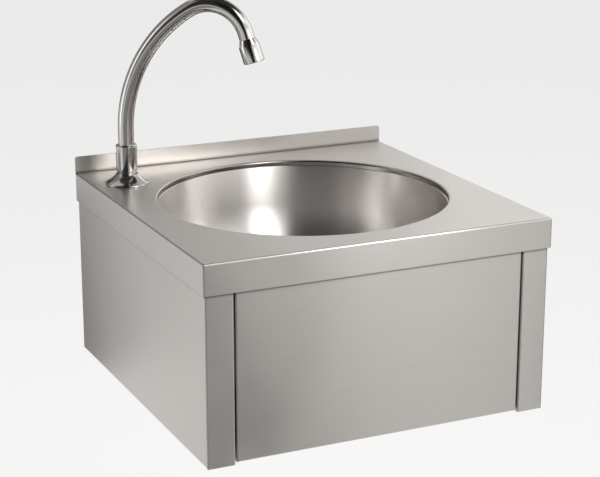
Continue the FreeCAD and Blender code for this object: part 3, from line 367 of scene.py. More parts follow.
brushedSheet = {"colour": (0.60, 0.572, 0.547, 1), "fineness": 700.0, "length": 0.02, "cloudSize": 7.0,
                "lineTint": 0.10, "cloudTint": 0.08, "roughness": (0.30, 0.38), "bump": 0.015,
                "bumpDepth": 0.0002, "oneWay": 0.6, "crease": None}
# painted shade along the worktop's foot, where it meets the upstand
shadeAtUpstandFoot = {"Line Place": (0.0, -0.0016, 0.0004), "Across": (0.0, 1.0, 1.0), "Reach": 0.0034,
               "Depth": 0.6}
# painted shadow line on the cabinet and knee panel just below the apron's lower edge
shadowUnderApron = {"Line Place": (0.0, 0.0, topLow.z), "Across": (0.0, 0.0, 1.0), "Reach": 0.0042,
              "Depth": 0.75}
quarterTurn = 0.25  # a reflection spreads across the lines of the brushing and the spinning


def brushedSteel(name, finish, **changes):
    values = {**finish, **changes}
    material, tree, shader, coords = newMaterial(name)
    grain = useGroup(tree, grainGroup, {"Place": coords["Object"], "Facing": coords["Normal"],
                                        "Fineness": values["fineness"], "Length": values["length"],
                                        "Cloud Size": values["cloudSize"]})
    lined = tinted(tree, values["colour"], grain["Lines"], values["lineTint"])
    clouded = tinted(tree, lined, grain["Clouds"], values["cloudTint"])
    # painted shade: the colour is darkened near the line where two sheets meet
    if values["crease"]:
        paintedShade = useGroup(tree, creaseGroup, {"Place": coords["Object"], **values["crease"]})["Factor"]
        clouded = scaled(tree, clouded, paintedShade)
    connect(tree, shader, {
        "Base Color": clouded, "Metallic": 1.0, "Normal": relief(tree, grain["Lines"], values),
        "Roughness": roughnessRange(tree, grain["Clouds"], *values["roughness"])})
    if values["oneWay"]:
        tangent = node(tree, "Tangent", direction_type="UV_MAP").outputs[0]
        connect(tree, shader, {"Tangent": tangent, "Anisotropic": values["oneWay"],
                               "Anisotropic Rotation": quarterTurn})
    return material


spunBowl = {"colour": (0.74, 0.712, 0.692, 1), "ringScale": 420.0, "ringTint": 0.02, "cloudScale": 6.0,
            "roughness": (0.30, 0.36), "bump": 0.004, "bumpDepth": 0.0002, "oneWay": 0.88}


def spunSteel(name, finish, centre, **changes):
    # fine rings round the bowl's axis, from the spinning
    values = {**finish, **changes}
    material, tree, shader, coords = newMaterial(name)
    placed = node(tree, "Mapping", {"Vector": coords["Object"], "Location": tuple(-centre)}).outputs[0]
    parts = node(tree, "SeparateXYZ", {0: placed}).outputs
    squares = [maths(tree, "MULTIPLY", parts[axis], parts[axis]) for axis in ("X", "Y")]
    distance = maths(tree, "SQRT", maths(tree, "ADD", *squares))
    ringPlace = node(tree, "CombineXYZ", {"X": distance, "Y": 0.0, "Z": parts["Z"]}).outputs[0]
    rings = noise(tree, ringPlace, values["ringScale"], roughness=0.55)
    clouds = noise(tree, placed, values["cloudScale"], detail=2.0)
    tangent = node(tree, "Tangent", direction_type="RADIAL", axis="Z").outputs[0]
    connect(tree, shader, {
        "Base Color": tinted(tree, values["colour"], rings, values["ringTint"]), "Metallic": 1.0,
        "Roughness": roughnessRange(tree, clouds, *values["roughness"]),
        "Normal": relief(tree, rings, values), "Tangent": tangent, "Anisotropic": values["oneWay"],
        "Anisotropic Rotation": quarterTurn})
    return material


polishedChrome = {"colour": (0.59, 0.574, 0.56, 1), "roughness": (0.12, 0.16), "smearScale": 60.0,
                  "tint": 0.04}


def chrome(name, finish):
    material, tree, shader, coords = newMaterial(name)
    smears = noise(tree, coords["Object"], finish["smearScale"])
    connect(tree, shader, {
        "Base Color": tinted(tree, finish["colour"], smears, finish["tint"]), "Metallic": 1.0,
        "Roughness": roughnessRange(tree, smears, *finish["roughness"])})
    return material


machinedBrass = {"colour": (0.72, 0.55, 0.29, 1), "dull": (0.42, 0.30, 0.15, 1), "patches": 38.0,
                 "roughness": (0.28, 0.48), "grain": 350.0, "bump": 0.12, "bumpDepth": 0.0003}
plainFastener = {"colour": (0.56, 0.56, 0.55, 1), "dull": (0.36, 0.355, 0.34, 1), "patches": 38.0,
                 "roughness": (0.22, 0.4), "grain": 300.0, "bump": 0.08, "bumpDepth": 0.0002}


def castMetal(name, finish):
    # two tones, duller in patches, with a fine skin
    material, tree, shader, coords = newMaterial(name)
    patches = noise(tree, coords["Object"], finish["patches"], detail=4.0, roughness=0.6)
    skin = noise(tree, coords["Object"], finish["grain"], roughness=0.6)
    share = node(tree, "MapRange", {"Value": patches, "From Min": 0.42, "From Max": 0.72}).outputs[0]
    colour = node(tree, "Mix", {"Factor": share, "A": finish["colour"], "B": finish["dull"]},
                  data_type="RGBA").outputs["Result"]
    connect(tree, shader, {
        "Base Color": colour, "Roughness": roughnessRange(tree, patches, *finish["roughness"]),
        "Normal": relief(tree, skin, finish), "Metallic": 1.0})
    return material


sealRubber = {"colour": (0.022, 0.022, 0.023, 1), "roughness": (0.55, 0.75), "grain": 500.0,
              "bump": 0.15, "bumpDepth": 0.0002, "patches": 22.0, "tint": 0.35, "specular": 0.35}
mouldedNylon = {"colour": (0.80, 0.79, 0.75, 1), "roughness": (0.38, 0.5), "grain": 420.0,
                "bump": 0.06, "bumpDepth": 0.0002, "patches": 22.0, "tint": 0.05, "specular": 0.45}
wastePlastic = {"colour": (0.78, 0.78, 0.765, 1), "roughness": (0.3, 0.42), "grain": 260.0,
                "bump": 0.05, "bumpDepth": 0.0002, "patches": 22.0, "tint": 0.05, "specular": 0.5}


def moulded(name, finish):
    material, tree, shader, coords = newMaterial(name)
    grain = noise(tree, coords["Object"], finish["grain"], roughness=0.6)
    patches = noise(tree, coords["Object"], finish["patches"], detail=2.0)
    connect(tree, shader, {
        "Base Color": tinted(tree, finish["colour"], patches, finish["tint"]),
        "Roughness": roughnessRange(tree, patches, *finish["roughness"]),
        "Normal": relief(tree, grain, finish), "Specular IOR Level": finish["specular"]})
    return material


steelBraid = {"wire": (0.66, 0.65, 0.63, 1), "gap": (0.16, 0.155, 0.15, 1), "pitch": 0.0024,
              "roughness": (0.28, 0.42), "bump": 0.5, "bumpDepth": 0.0003}


def braided(name, finish):
    # bright wires that cross on the slant, dark where they dip
    material, tree, shader, coords = newMaterial(name)
    waves = []
    for slant in ((1, 1, 1), (1, -1, -1), (-1, 1, -1)):
        along = vectors(tree, "DOT_PRODUCT", coords["Object"], slant)["Value"]
        waves.append(maths(tree, "SINE", maths(tree, "MULTIPLY", along, 2 * pi / finish["pitch"])))
    crossed = maths(tree, "MULTIPLY", maths(tree, "MULTIPLY", *waves[:2]), waves[2])
    height = node(tree, "MapRange", {"Value": crossed, "From Min": -0.6, "From Max": 0.25}).outputs[0]
    colour = node(tree, "Mix", {"Factor": height, "A": finish["gap"], "B": finish["wire"]},
                  data_type="RGBA").outputs["Result"]
    connect(tree, shader, {
        "Base Color": colour, "Roughness": roughnessRange(tree, height, *finish["roughness"]),
        "Normal": relief(tree, height, finish), "Metallic": 1.0})
    return material


# these copies differ in where a painted shade line darkens them: at the upstand's foot, or under the
# apron
sheetSteel = brushedSteel("sheetSteel", brushedSheet, crease=shadeAtUpstandFoot)
cabinetSteel = brushedSteel("cabinetSteel", brushedSheet, crease=shadowUnderApron)
panelSteel = brushedSteel("panelSteel", brushedSheet, cloudTint=0.10, crease=shadowUnderApron)
innerSteel = brushedSteel("innerSteel", brushedSheet, colour=(0.52, 0.51, 0.495, 1),
                          roughness=(0.38, 0.5), oneWay=0.0)
bowlSteel = spunSteel("bowlSteel", spunBowl, bowlAxis)
# a smoother, darker copy of the bowl's steel for the lip: its darkness is painted shade
shadedRimSteel = spunSteel("shadedRimSteel", spunBowl, bowlAxis, colour=(0.30, 0.287, 0.275, 1),
                     roughness=(0.16, 0.22), oneWay=0.3)
tapChrome = chrome("tapChrome", polishedChrome)
brass = castMetal("brass", machinedBrass)
fastenerSteel = castMetal("fastenerSteel", plainFastener)
braidedHose = braided("braidedHose", steelBraid)
rubber = moulded("rubber", sealRubber)
nylon = moulded("nylon", mouldedNylon)
wasteResin = moulded("wasteResin", wastePlastic)
print("finishes made")


# the last value is the share of the lip's bend below which the lip takes its darker steel, which is
# painted shade
worktopSheet = {"edgeRadius": 0.0020, "upstandCorner": 0.003, "footRadius": 0.0012, "gridCells": 24,
                "lipRadius": 0.162, "lipFold": 0.0026, "lipDepth": 0.0065, "lipSteps": 5,
                "shadeStartShare": 0.55}


def roundLip(piece, values, holeRadius):
    # the sloping first ring is cut into steps that follow a quarter circle
    fold = values["lipFold"]

    def onSlope(edge):
        heights = sorted(vert.co.z for vert in edge.verts)
        return near(heights[0], -fold) and near(heights[1], 0)

    pick(piece, onSlope)
    bpy.ops.mesh.subdivide_edgering(number_cuts=values["lipSteps"] - 1, interpolation="LINEAR")
    mesh = bmesh.from_edit_mesh(piece.data)
    for vert in mesh.verts:
        flat = levelled(vert.co) - holeCentre
        if -fold + 1e-6 < vert.co.z < -1e-6 and flat.length < holeRadius + 1e-5:
            angle = -vert.co.z / fold * pi / 2
            flat = flat.normalized() * (holeRadius - fold * sin(angle))
            vert.co = holeCentre + flat + upright * (-fold + fold * cos(angle))
    bmesh.update_edit_mesh(piece.data)


def makeWorktop(values):
    left, right, front, rear = topLow.x, topHigh.x, topLow.y, topHigh.y - sheetMetal
    cells, fold = values["gridCells"], values["lipFold"]
    holeRadius = values["lipRadius"] + fold
    clearSelection()
    bpy.ops.mesh.primitive_grid_add(x_subdivisions=cells, y_subdivisions=cells, size=1,
                                    location=((left + right) / 2, (front + rear) / 2, 0))
    piece = bpy.context.object
    piece.name = "worktopSheet"
    piece.scale = (right - left, rear - front, 1)
    settle(piece)
    begin(piece)  # only the square outline stays
    pick(piece, lambda vert: not vert.is_boundary, "VERT")
    bpy.ops.mesh.delete(type="VERT")
    bpy.ops.mesh.primitive_circle_add(vertices=4 * cells, radius=holeRadius, location=holeCentre)
    bpy.ops.mesh.select_all(action="SELECT")
    bpy.ops.mesh.bridge_edge_loops()
    pick(piece, lambda face: True, "FACE")
    bpy.ops.mesh.normals_make_consistent(inside=False)
    if sum(face.normal.z for face in bmesh.from_edit_mesh(piece.data).faces) < 0:
        bpy.ops.mesh.flip_normals()

    def onSide(spot):
        return near(spot.x, left) or near(spot.x, right)

    def onApron(edge):
        return edge.is_boundary and (onSide(middle(edge)) or near(middle(edge).y, front))

    def onRear(edge):
        return all(near(vert.co.y, rear) and near(vert.co.z, 0) for vert in edge.verts)

    def onHole(edge):
        return edge.is_boundary and (middle(edge) - holeCentre).length < holeRadius + 1e-4

    def verticalCorner(edge):
        first, last = (vert.co for vert in edge.verts)
        upDown = near(first.x, last.x) and near(first.y, last.y)
        spot = middle(edge)
        return upDown and near(spot.y, front) and onSide(spot) and spot.z < 0

    def topFold(edge):
        faces = edge.link_faces
        bent = len(faces) == 2 and faces[0].normal.angle(faces[1].normal) > radians(60)
        return bent and all(near(vert.co.z, 0) for vert in edge.verts) and middle(edge).y < rear - 1e-4

    pick(piece, onApron)
    drawOut(0, 0, topLow.z)
    pick(piece, lambda edge: edge.is_boundary and onRear(edge))
    drawOut(0, 0, topHigh.z)
    pick(piece, onHole)
    drawOut(0, 0, -fold)
    share = values["lipRadius"] / holeRadius
    bpy.ops.transform.resize(value=(share, share, 1), center_override=holeCentre)
    drawOut(0, 0, fold - values["lipDepth"])
    roundLip(piece, values, holeRadius)
    pick(piece, lambda edge: topFold(edge) or verticalCorner(edge))
    bpy.ops.mesh.bevel(offset=values["edgeRadius"], segments=5, affect="EDGES")
    pick(piece, onRear)
    bpy.ops.mesh.bevel(offset=values["footRadius"], segments=3, affect="EDGES")
    pick(piece, lambda vert: near(vert.co.z, topHigh.z) and onSide(vert.co), "VERT")
    bpy.ops.mesh.bevel(offset=values["upstandCorner"], segments=4, affect="VERTICES")
    bpy.ops.object.mode_set(mode="OBJECT")
    thickenSheet(piece)
    return piece


def paintLipShade(piece, values):
    # below its bend the lip takes a smoother steel whose darker colour is painted shade, for the dark
    # band round the rim
    piece.data.materials.append(shadedRimSteel)
    begin(piece)

    def onLip(face):
        spot = face.calc_center_median()
        outer = values["lipRadius"] + values["lipFold"]
        return (spot.z < -values["lipFold"] * values["shadeStartShare"]
                and (levelled(spot) - holeCentre).length < outer)

    pick(piece, onLip, "FACE")
    piece.active_material_index = 1
    bpy.ops.object.material_slot_assign()
    bpy.ops.object.mode_set(mode="OBJECT")


worktop = finishPiece(makeWorktop(worktopSheet), sheetSteel, "root", "stainless_sheet", "worktop")
paintLipShade(worktop, worktopSheet)
print("worktop made", len(worktop.data.polygons), "faces")


bowlShell = {"rimRadius": 0.161, "rimHeight": -0.0065, "rimRound": 0.0006, "ledge": 0.0010, "side": 4,
             "fall": 3, "curve": 0.088, "floorHeight": -0.135, "recessRadius": 0.034,
             "recessDepth": 0.003, "recessEdge": 0.001, "recessRound": 0.0008, "recessFoot": 0.0006,
             "holeRadius": 0.023, "wall": 0.0012, "segments": 128}


def bowlRings(values):
    side, fall, curve = radians(values["side"]), radians(values["fall"]), values["curve"]
    rim, rimZ, rimRound = values["rimRadius"], values["rimHeight"], values["rimRound"]
    recess, floorZ, recessRound = values["recessRadius"], values["floorHeight"], values["recessRound"]
    recessZ = floorZ - values["recessDepth"]
    # the side line and the floor line meet in one corner, which the curve rounds
    floorAtAxis = floorZ - recess * tan(fall)
    cornerR = (rim - (rimZ - floorAtAxis) * tan(side)) / (1 - tan(side) * tan(fall))
    cornerZ = floorAtAxis + cornerR * tan(fall)
    reach = curve * tan((pi / 2 - side - fall) / 2)
    curveR = cornerR + reach * sin(side) - curve * cos(side)
    curveZ = cornerZ + reach * cos(side) + curve * sin(side)
    rings = [(rim + values["ledge"], rimZ)]
    rings += arc(rim + rimRound, rimZ - rimRound, rimRound, 90, 180, steps=3)
    rings += arc(curveR, curveZ, curve, -values["side"], -90 + values["fall"], steps=22)
    rings += [(recess + values["recessEdge"], floorZ)]
    rings += arc(recess, floorZ - recessRound, recessRound, 90, 180, steps=3)
    rings += [(recess - recessRound, recessZ + values["recessFoot"]),
              (recess - 2 * recessRound, recessZ), (values["holeRadius"], recessZ)]
    return rings


def makeBowl(values):
    piece = turnedPiece("bowlShell", bowlRings(values), values["segments"])
    standOn(piece, holeCentre)
    begin(piece)
    bpy.ops.mesh.select_all(action="SELECT")
    bpy.ops.mesh.normals_make_consistent(inside=True)
    bpy.ops.object.mode_set(mode="OBJECT")
    applyModifier(piece, "SOLIDIFY", thickness=values["wall"], offset=-1, use_even_offset=True)
    smooth(piece, 40)
    return piece


bowl = finishPiece(makeBowl(bowlShell), bowlSteel, "root", "stainless_bowl", "bowl")
print("bowl made", len(bowl.data.polygons), "faces")


cabinet = {"stile": 0.031, "stileReturn": 0.020, "rearFlange": 0.018, "bottomFlange": 0.020,
           "fold": 0.0020, "headRoom": 0.0034}
kneePanel = {"gap": 0.0015, "sideReturn": 0.016, "bottomReturn": 0.012, "fold": 0.0020,
             "bottomFold": 0.0012, "tab": (0.012, 0.016, 0.021), "tabGap": 0.0027, "tabRoot": 0.004,
             "tabFold": 0.0008}  # a tab's reach, height and lift over the side panel's foot


def makeSidePanel(values, side):  # side is -1 at the left and 1 at the right
    outer, front = -sideLow.x, sideLow.y
    stile = outer - values["stile"]
    plan = [(-outer + values["rearFlange"], 0), (-outer, 0), (-outer, front), (-stile, front),
            (-stile, front + values["stileReturn"])]
    if side > 0:
        plan = [(-x, y) for x, y in reversed(plan)]
    name = "leftSidePanel" if side < 0 else "rightSidePanel"
    piece = foldedStrip(name, plan, sideLow.z, -values["headRoom"], values["fold"])
    foldBottom(piece, lambda spot: near(spot.x, side * outer), sideLow.z,
               (-side * values["bottomFlange"], 0, 0), values["fold"])
    thickenSheet(piece)
    return piece


def makeKneePanel(values):
    half, front = -(sideLow.x + cabinet["stile"]) - values["gap"], panelLow.y
    rear = front + values["sideReturn"]
    plan = [(-half, rear), (-half, front), (half, front), (half, rear)]
    piece = foldedStrip("kneePanel", plan, panelLow.z, panelHigh.z, values["fold"])
    foldBottom(piece, lambda spot: near(spot.y, front), panelLow.z, (0, values["bottomReturn"], 0),
               values["bottomFold"])
    reach, tall, lift = values["tab"]
    low = sideLow.z + lift - tall / 2
    parts = [piece]
    for side in (-1, 1):
        outer, tabY = side * half, sideLow.y + cabinet["stileReturn"] + values["tabGap"]
        plan = [(outer, rear - values["tabRoot"]), (outer, tabY), (outer + side * reach, tabY)]
        if side > 0:
            plan.reverse()
        parts.append(foldedStrip("stopTab", plan, low, low + tall, values["tabFold"]))
    clearSelection()
    for part in parts:
        part.select_set(True)
    bpy.context.view_layer.objects.active = piece
    bpy.ops.object.join()
    thickenSheet(piece)
    return piece


finishPiece(makeSidePanel(cabinet, -1), cabinetSteel, "root", "stainless_sheet", "left_side_panel")
finishPiece(makeSidePanel(cabinet, 1), cabinetSteel, "root", "stainless_sheet", "right_side_panel")
finishPiece(makeKneePanel(kneePanel), panelSteel, "knee_panel", "stainless_sheet", "front_panel")
print("cabinet made")


tapFlange = {"radius": 0.025, "rim": 0.0026, "rimRound": 0.0007, "topRadius": 0.0126, "hollow": 0.0010,
             "hollowWay": (0.6, 0.9), "slopeSteps": 8, "bore": 0.0105, "dish": 0.0002}
tapCollar = {"radius": 0.012, "footRadius": 0.0107, "taper": 0.0045, "chamfer": 0.0012, "bore": 0.0091}
spoutPipe = {"radius": 0.009, "wall": 0.0012, "riserTop": 0.0622, "firstBend": (0.165, 58.6),
             "secondBend": (0.0434, 103.7), "steps": (96, 116), "tail": 0.0169, "turn": -40,
             "segments": 48}
aerator = {"radius": 0.0121, "length": 0.0265, "cone": 0.0065, "chamfer": 0.0009,
           "chamferShares": (0.45, 0.3), "edge": 0.0095, "lip": 0.0094, "lipHeight": 0.0015,
           "bore": 0.0103, "socket": 0.010, "pipeHole": 0.00905, "tailEnd": 0.0334}


def makeFlange(values):
    # a rounded rim and a slope to the top that hollows a little on its way
    top, half, bore = flangeHigh.z, values["rim"] / 2, values["bore"]
    rings = [(bore, values["dish"]), (values["radius"] - values["rimRound"], 0.0)]
    rings += arc(values["radius"] - half, half, half, -60, 60, steps=6)
    slopeR, slopeZ = rings[-1]
    inwards, down = values["hollowWay"]
    for step in range(1, values["slopeSteps"] + 1):
        share = step / values["slopeSteps"]
        sag = values["hollow"] * 4 * share * (1 - share)
        rings.append((slopeR + (values["topRadius"] - slopeR) * share - sag * inwards,
                      slopeZ + (top - slopeZ) * share - sag * down))
    rings += [(bore, top), (bore, values["dish"])]
    piece = turnedPiece("tapFlange", rings)
    standOn(piece, tapFoot)
    outwards(piece)
    smooth(piece, 35)
    return piece


def makeCollar(values):
    low, high, radius, bore = collarLow.z, collarHigh.z, values["radius"], values["bore"]
    taper, chamfer = low + values["taper"], values["chamfer"]
    rings = [(bore, low), (values["footRadius"], low), (radius - fineEase, taper),
             (radius, taper + 2 * broadEase), (radius, high - chamfer - fineEase),
             (radius - broadEase, high - chamfer + broadEase), (radius - chamfer, high - fineEase / 2),
             (radius - chamfer - broadEase, high), (bore, high), (bore, low)]
    piece = turnedPiece("tapCollar", rings)
    standOn(piece, tapFoot)
    outwards(piece)
    smooth(piece, 28)
    return piece


def spoutBends(values):
    # what the bends turn about, the bends, where the last one ends and the way the spout goes there
    turn = radians(values["turn"])
    hinge = upright.cross(Vector((cos(turn), sin(turn), 0)))  # bends lean the pipe from up to outwards
    place, heading, bends = tapFoot + upright * values["riserTop"], upright.copy(), []
    for radius, angle in (values["firstBend"], values["secondBend"]):
        centre = place + hinge.cross(heading) * radius
        bends.append((centre, radians(angle)))
        spin = Matrix.Rotation(radians(angle), 3, hinge)
        place = centre + spin @ (place - centre)
        heading = spin @ heading
    return hinge, bends, place, heading


def makeSpout(values):
    hinge, bends, _, heading = spoutBends(values)
    clearSelection()
    bpy.ops.mesh.primitive_circle_add(vertices=values["segments"], radius=values["radius"],
                                      location=tapFoot + upright * spoutLow.z)
    piece = bpy.context.object
    piece.name = "spoutPipe"
    settle(piece)
    bpy.ops.object.mode_set(mode="EDIT")
    bpy.ops.mesh.select_all(action="SELECT")
    drawOut(0, 0, values["riserTop"] - spoutLow.z)
    for (centre, angle), steps in zip(bends, values["steps"]):
        bpy.ops.mesh.spin(steps=steps, angle=-angle, center=centre, axis=hinge)
    drawOut(*(heading * values["tail"]))
    bpy.ops.object.mode_set(mode="OBJECT")
    outwards(piece)
    applyModifier(piece, "SOLIDIFY", thickness=values["wall"], offset=-1)
    smooth(piece, 40)
    return piece


def makeAerator(values):
    # a cone, a barrel and a chamfered end, hollow, with a lip round the outlet
    end, heading = spoutBends(spoutPipe)[2:]
    last, radius, chamfer, cone = values["length"], values["radius"], values["chamfer"], values["cone"]
    bore, pipeHole, inner = values["bore"], values["pipeHole"], last - values["lipHeight"]
    across, along = values["chamferShares"]
    rings = [(pipeHole, 0.0), (values["edge"], 0.0), (radius - fineEase, cone - broadEase),
             (radius, cone + 2 * broadEase), (radius, last - chamfer),
             (radius - chamfer * across, last - chamfer * along), (radius - chamfer, last),
             (values["lip"], last), (values["lip"], inner), (bore, inner), (bore, values["socket"]),
             (pipeHole, values["socket"]), (pipeHole, 0.0)]
    piece = turnedPiece("aeratorHousing", rings)
    standOn(piece, end + heading * (values["tailEnd"] - last), heading)
    outwards(piece)
    smooth(piece, 28)
    return piece


finishPiece(makeFlange(tapFlange), tapChrome, "root", "chrome", "tap_flange")
finishPiece(makeCollar(tapCollar), tapChrome, "root", "chrome", "tap_collar")
finishPiece(makeSpout(spoutPipe), tapChrome, "spout", "chrome", "spout_tube")
finishPiece(makeAerator(aerator), tapChrome, "spout", "chrome", "aerator_housing")
print("tap made")


valveCoil = {"wire": 0.0007, "turns": 4, "stepsPerTurn": 40, "wireSides": 12, "travel": 0.0108}


def makeSpring(values):
    # a wound wire along Y
    wire = values["wire"]
    clearSelection()
    bpy.ops.mesh.primitive_circle_add(
        vertices=values["wireSides"], radius=wire, rotation=(pi / 2, 0, 0),
        location=((springHigh.x - springLow.x) / 2 - wire, 0, 0))
    piece = bpy.context.object
    piece.name = "valveSpring"
    settle(piece)
    applyModifier(piece, "SCREW", axis="Z", iterations=values["turns"], steps=values["stepsPerTurn"],
                  screw_offset=(springHigh.y - springLow.y - 2 * wire) / values["turns"])
    begin(piece)
    bpy.ops.mesh.select_all(action="SELECT")
    bpy.ops.mesh.fill_holes(sides=0)
    bpy.ops.object.mode_set(mode="OBJECT")
    centre = (springLow + springHigh) / 2
    standOn(piece, Vector((centre.x, springLow.y + wire, centre.z)), (0, 1, 0))
    outwards(piece)
    smooth(piece, 40)
    return piece


# in the valve the spring shortens towards the gland at its rear end as the plunger comes in; here it is
# made at rest with a mesh of its own
spring = finishPiece(makeSpring(valveCoil), fastenerSteel, "root", "steel_fastener", "valve_spring")
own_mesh(spring)
print("spring made", len(spring.data.polygons), "faces")


carriedOver = {
    innerSteel: ["upper_wall_rail", "lower_wall_rail", "valve_rail", "panel_stiffener", "waste_strainer",
                 "waste_screw"],
    fastenerSteel: ["rail_screws", "rail_nuts", "pivot_screw_left", "pivot_screw_right",
                    "pivot_nut_left", "pivot_nut_right", "tap_clamp_washer", "spout_clip"],
    brass: ["valve_body", "valve_locknut", "valve_gland", "valve_plunger", "mixing_spindle",
            "union_nuts", "hose_ferrules", "tap_shank", "tap_backnut"],
    rubber: ["strike_pad", "stop_buffers", "plunger_seal", "spout_seals", "aerator_washer",
             "tap_gasket", "waste_gasket_upper", "waste_gasket_lower"],
    braidedHose: ["spout_hose"],
    nylon: ["pivot_bush_left", "pivot_bush_right", "check_valves", "inlet_filters", "aerator_insert"],
    wasteResin: ["waste_body"],
}
for material, names in carriedOver.items():
    for name in names:
        coat(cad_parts[name], material)
print("carried over parts finished")


paleTone = 0.831  # the plain background
paleColour = (paleTone, paleTone, paleTone * 0.995, 1)
studio = {"floorHeight": -0.85, "floorSize": 60.0, "floorRoughness": 0.9, "ownShadow": 0.25,
          "glow": 0.965, "worldLight": 0.55}
studioCentre = Vector((0, -0.2, -0.05))


def plainlySeen(tree):  # 1 for what the camera sees straight, mirrored or through glass
    paths = node(tree, "LightPath").outputs
    return maths(tree, "ADD", maths(tree, "ADD", paths["Is Camera Ray"], paths["Is Glossy Ray"]),
                 paths["Is Transmission Ray"], clamp=True)


def paleFloor(values):
    # seen at its plain tone with a weak shadow, and clear from below
    clearSelection()
    bpy.ops.mesh.primitive_plane_add(size=values["floorSize"], location=(0, 0, values["floorHeight"]))
    floor = bpy.context.object
    floor.name = "studioFloor"
    material, tree = emptyMaterial("floorPaint")
    paint = node(tree, "BsdfPrincipled", {"Base Color": paleColour, "Specular IOR Level": 0.0,
                                          "Roughness": values["floorRoughness"]}).outputs[0]
    glow = node(tree, "Emission", {"Color": paleColour, "Strength": values["glow"] / paleTone}).outputs[0]
    share = maths(tree, "MULTIPLY", plainlySeen(tree), 1 - values["ownShadow"])
    top = node(tree, "MixShader", {0: share, 1: paint, 2: glow}).outputs[0]
    clear = node(tree, "BsdfTransparent").outputs[0]
    back = node(tree, "NewGeometry").outputs["Backfacing"]
    both = node(tree, "MixShader", {0: back, 1: top, 2: clear}).outputs[0]
    node(tree, "OutputMaterial", {"Surface": both})
    floor.data.materials.append(material)


def paleWorld(values):
    world = bpy.data.worlds.new("paleStudio")
    world.use_nodes = True
    bpy.context.scene.world = world
    tree = world.node_tree
    tree.nodes.clear()
    strength = node(tree, "MapRange", {"Value": plainlySeen(tree), "To Min": values["worldLight"],
                                       "To Max": 1.0}).outputs[0]
    background = node(tree, "Background", {"Color": paleColour, "Strength": strength}).outputs[0]
    node(tree, "OutputWorld", {"Surface": background})


def aimed(azimuth, height, distance):
    # a place round the sink: azimuth in degrees from +X towards +Y, height in degrees above the level
    a, e = radians(azimuth), radians(height)
    way = Vector((cos(a) * cos(e), sin(a) * cos(e), sin(e)))
    return studioCentre + way * distance, way


cardTint = (1.0, 0.99, 0.975)


def card(name, azimuths, heights, distance, tone, feather):
    # a board that only shiny metal sees; it spans those angles and is soft at its edges
    place, way = aimed(sum(azimuths) / 2, sum(heights) / 2, distance)
    spans = [2 * distance * tan(radians(high - low) / 2) for low, high in (azimuths, heights)]
    clearSelection()
    bpy.ops.mesh.primitive_plane_add(size=1, location=place)
    board = bpy.context.object
    board.name = name
    board.scale = (spans[0], spans[1], 1)
    board.rotation_euler = (-way).to_track_quat("Z", "Y").to_euler()
    material, tree = emptyMaterial(name)
    parts = node(tree, "SeparateXYZ", {0: node(tree, "TexCoord").outputs["UV"]}).outputs
    shares = []
    for axis in ("X", "Y"):
        offset = maths(tree, "ABSOLUTE", maths(tree, "SUBTRACT", parts[axis], 0.5))
        edge = maths(tree, "SUBTRACT", 0.5, offset)
        shares.append(node(tree, "MapRange", {"Value": edge, "From Max": feather},
                           interpolation_type="SMOOTHSTEP").outputs[0])
    solid = maths(tree, "MULTIPLY", *shares)
    colour = [tone * part for part in cardTint] + [1]
    glow = node(tree, "Emission", {"Color": colour, "Strength": 1.0}).outputs[0]
    clear = node(tree, "BsdfTransparent").outputs[0]
    mixed = node(tree, "MixShader", {0: solid, 1: clear, 2: glow}).outputs[0]
    node(tree, "OutputMaterial", {"Surface": mixed})
    board.data.materials.append(material)
    for ray in ("camera", "diffuse", "transmission", "volume_scatter", "shadow"):
        setattr(board, "visible_" + ray, False)


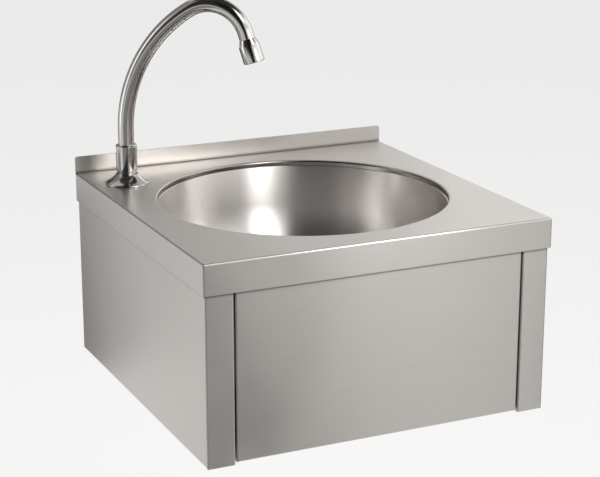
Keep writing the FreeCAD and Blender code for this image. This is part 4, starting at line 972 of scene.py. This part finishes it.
cards = [  # name, azimuths, heights, distance, tone, feather
    ("cameraFlag", (220, 260), (-8, 92), 1.35, 0.01, 0.12),
    ("leftGrey", (172, 234), (-4, 72), 1.5, 0.035, 0.2),
    ("leftStrip", (180, 190), (-8, 22), 1.3, 0.06, 0.3),
    ("leftFarStrip", (153, 166), (-30, 40), 1.35, 2.6, 0.3),
    ("leftFarGrey", (138, 180), (-4, 72), 1.55, 0.38, 0.2),
    ("backLeftDark", (104, 144), (-4, 72), 1.5, 0.28, 0.2),
    ("backDark", (82, 108), (-2, 34), 1.55, 0.20, 0.2),
    ("backHigh", (10, 74), (30, 88), 1.45, 0.60, 0.15),
    ("backLeftHigh", (70, 130), (30, 88), 1.45, 0.60, 0.15),
    ("ceilingDark", (200, 288), (60, 120), 1.25, 0.04, 0.2),
    ("rightWall", (302, 334), (-2, 58), 1.7, 1.30, 0.14),
    ("rightBackWall", (330, 362), (-2, 58), 1.7, 1.7, 0.14),
    ("farRightWall", (358, 388), (-2, 34), 1.75, 0.8, 0.14),
    ("backRightWall", (384, 418), (-2, 34), 1.75, 1.24, 0.14),
    ("rightHigh", (304, 344), (44, 74), 1.5, 0.6, 0.2),
    ("rightDark", (336, 402), (-10, 9), 1.5, 0.08, 0.2),
    ("frontWindow", (262, 298), (34, 68), 1.5, 2.6, 0.25),
    ("sideWindow", (274, 302), (12, 48), 0.46, 8.0, 0.3),
    ("frontLeftLow", (262, 288), (-44, -2), 1.05, 0.17, 0.2),
    ("frontLowGrey", (286, 340), (-66, -22), 1.1, 0.62, 0.25),
    ("rightLow", (305, 424), (-48, 0), 1.1, 0.30, 0.2),
    ("leftLow", (194, 264), (-48, 2), 1.0, 0.29, 0.15),
    ("backLeftLow", (136, 176), (-48, -2), 1.1, 0.34, 0.2),
    ("nearBack", (42, 127), (-38, -3), 0.5, 0.22, 0.14),
    ("behindTap", (72, 136), (4, 28), 0.37, 0.05, 0.28),
]
lamps = [  # name, azimuth, height, distance, size, watts
    ("keyLamp", 285, 42, 2.6, 1.2, 55),
    ("fillLamp", 200, 35, 3.0, 1.6, 28),
    ("topLamp", 60, 75, 2.6, 1.8, 30),
]


def makeLamp(name, azimuth, height, distance, size, watts):
    place, way = aimed(azimuth, height, distance)
    clearSelection()
    bpy.ops.object.light_add(type="AREA", location=place)
    lamp = bpy.context.object
    lamp.name = name
    lamp.data.size = size
    lamp.data.energy = watts
    lamp.rotation_euler = way.to_track_quat("Z", "Y").to_euler()
    lamp.visible_glossy = False


camera = {"place": (-0.78247, -1.87152, 0.49136), "pitch": -16.387, "heading": -25.001, "lens": 102.6,
          "sensor": 36.0, "farEnd": 200}


def makeCamera(values):
    clearSelection()
    bpy.ops.object.camera_add(location=values["place"],
                              rotation=(radians(90 + values["pitch"]), 0, radians(values["heading"])))
    made = bpy.context.object
    made.data.lens = values["lens"]
    made.data.sensor_width = values["sensor"]
    made.data.clip_end = values["farEnd"]
    bpy.context.scene.camera = made


paleFloor(studio)
paleWorld(studio)
for setting in cards:
    card(*setting)
for setting in lamps:
    makeLamp(*setting)
makeCamera(camera)
bpy.context.scene.view_settings.view_transform = "Standard"
print("studio made")
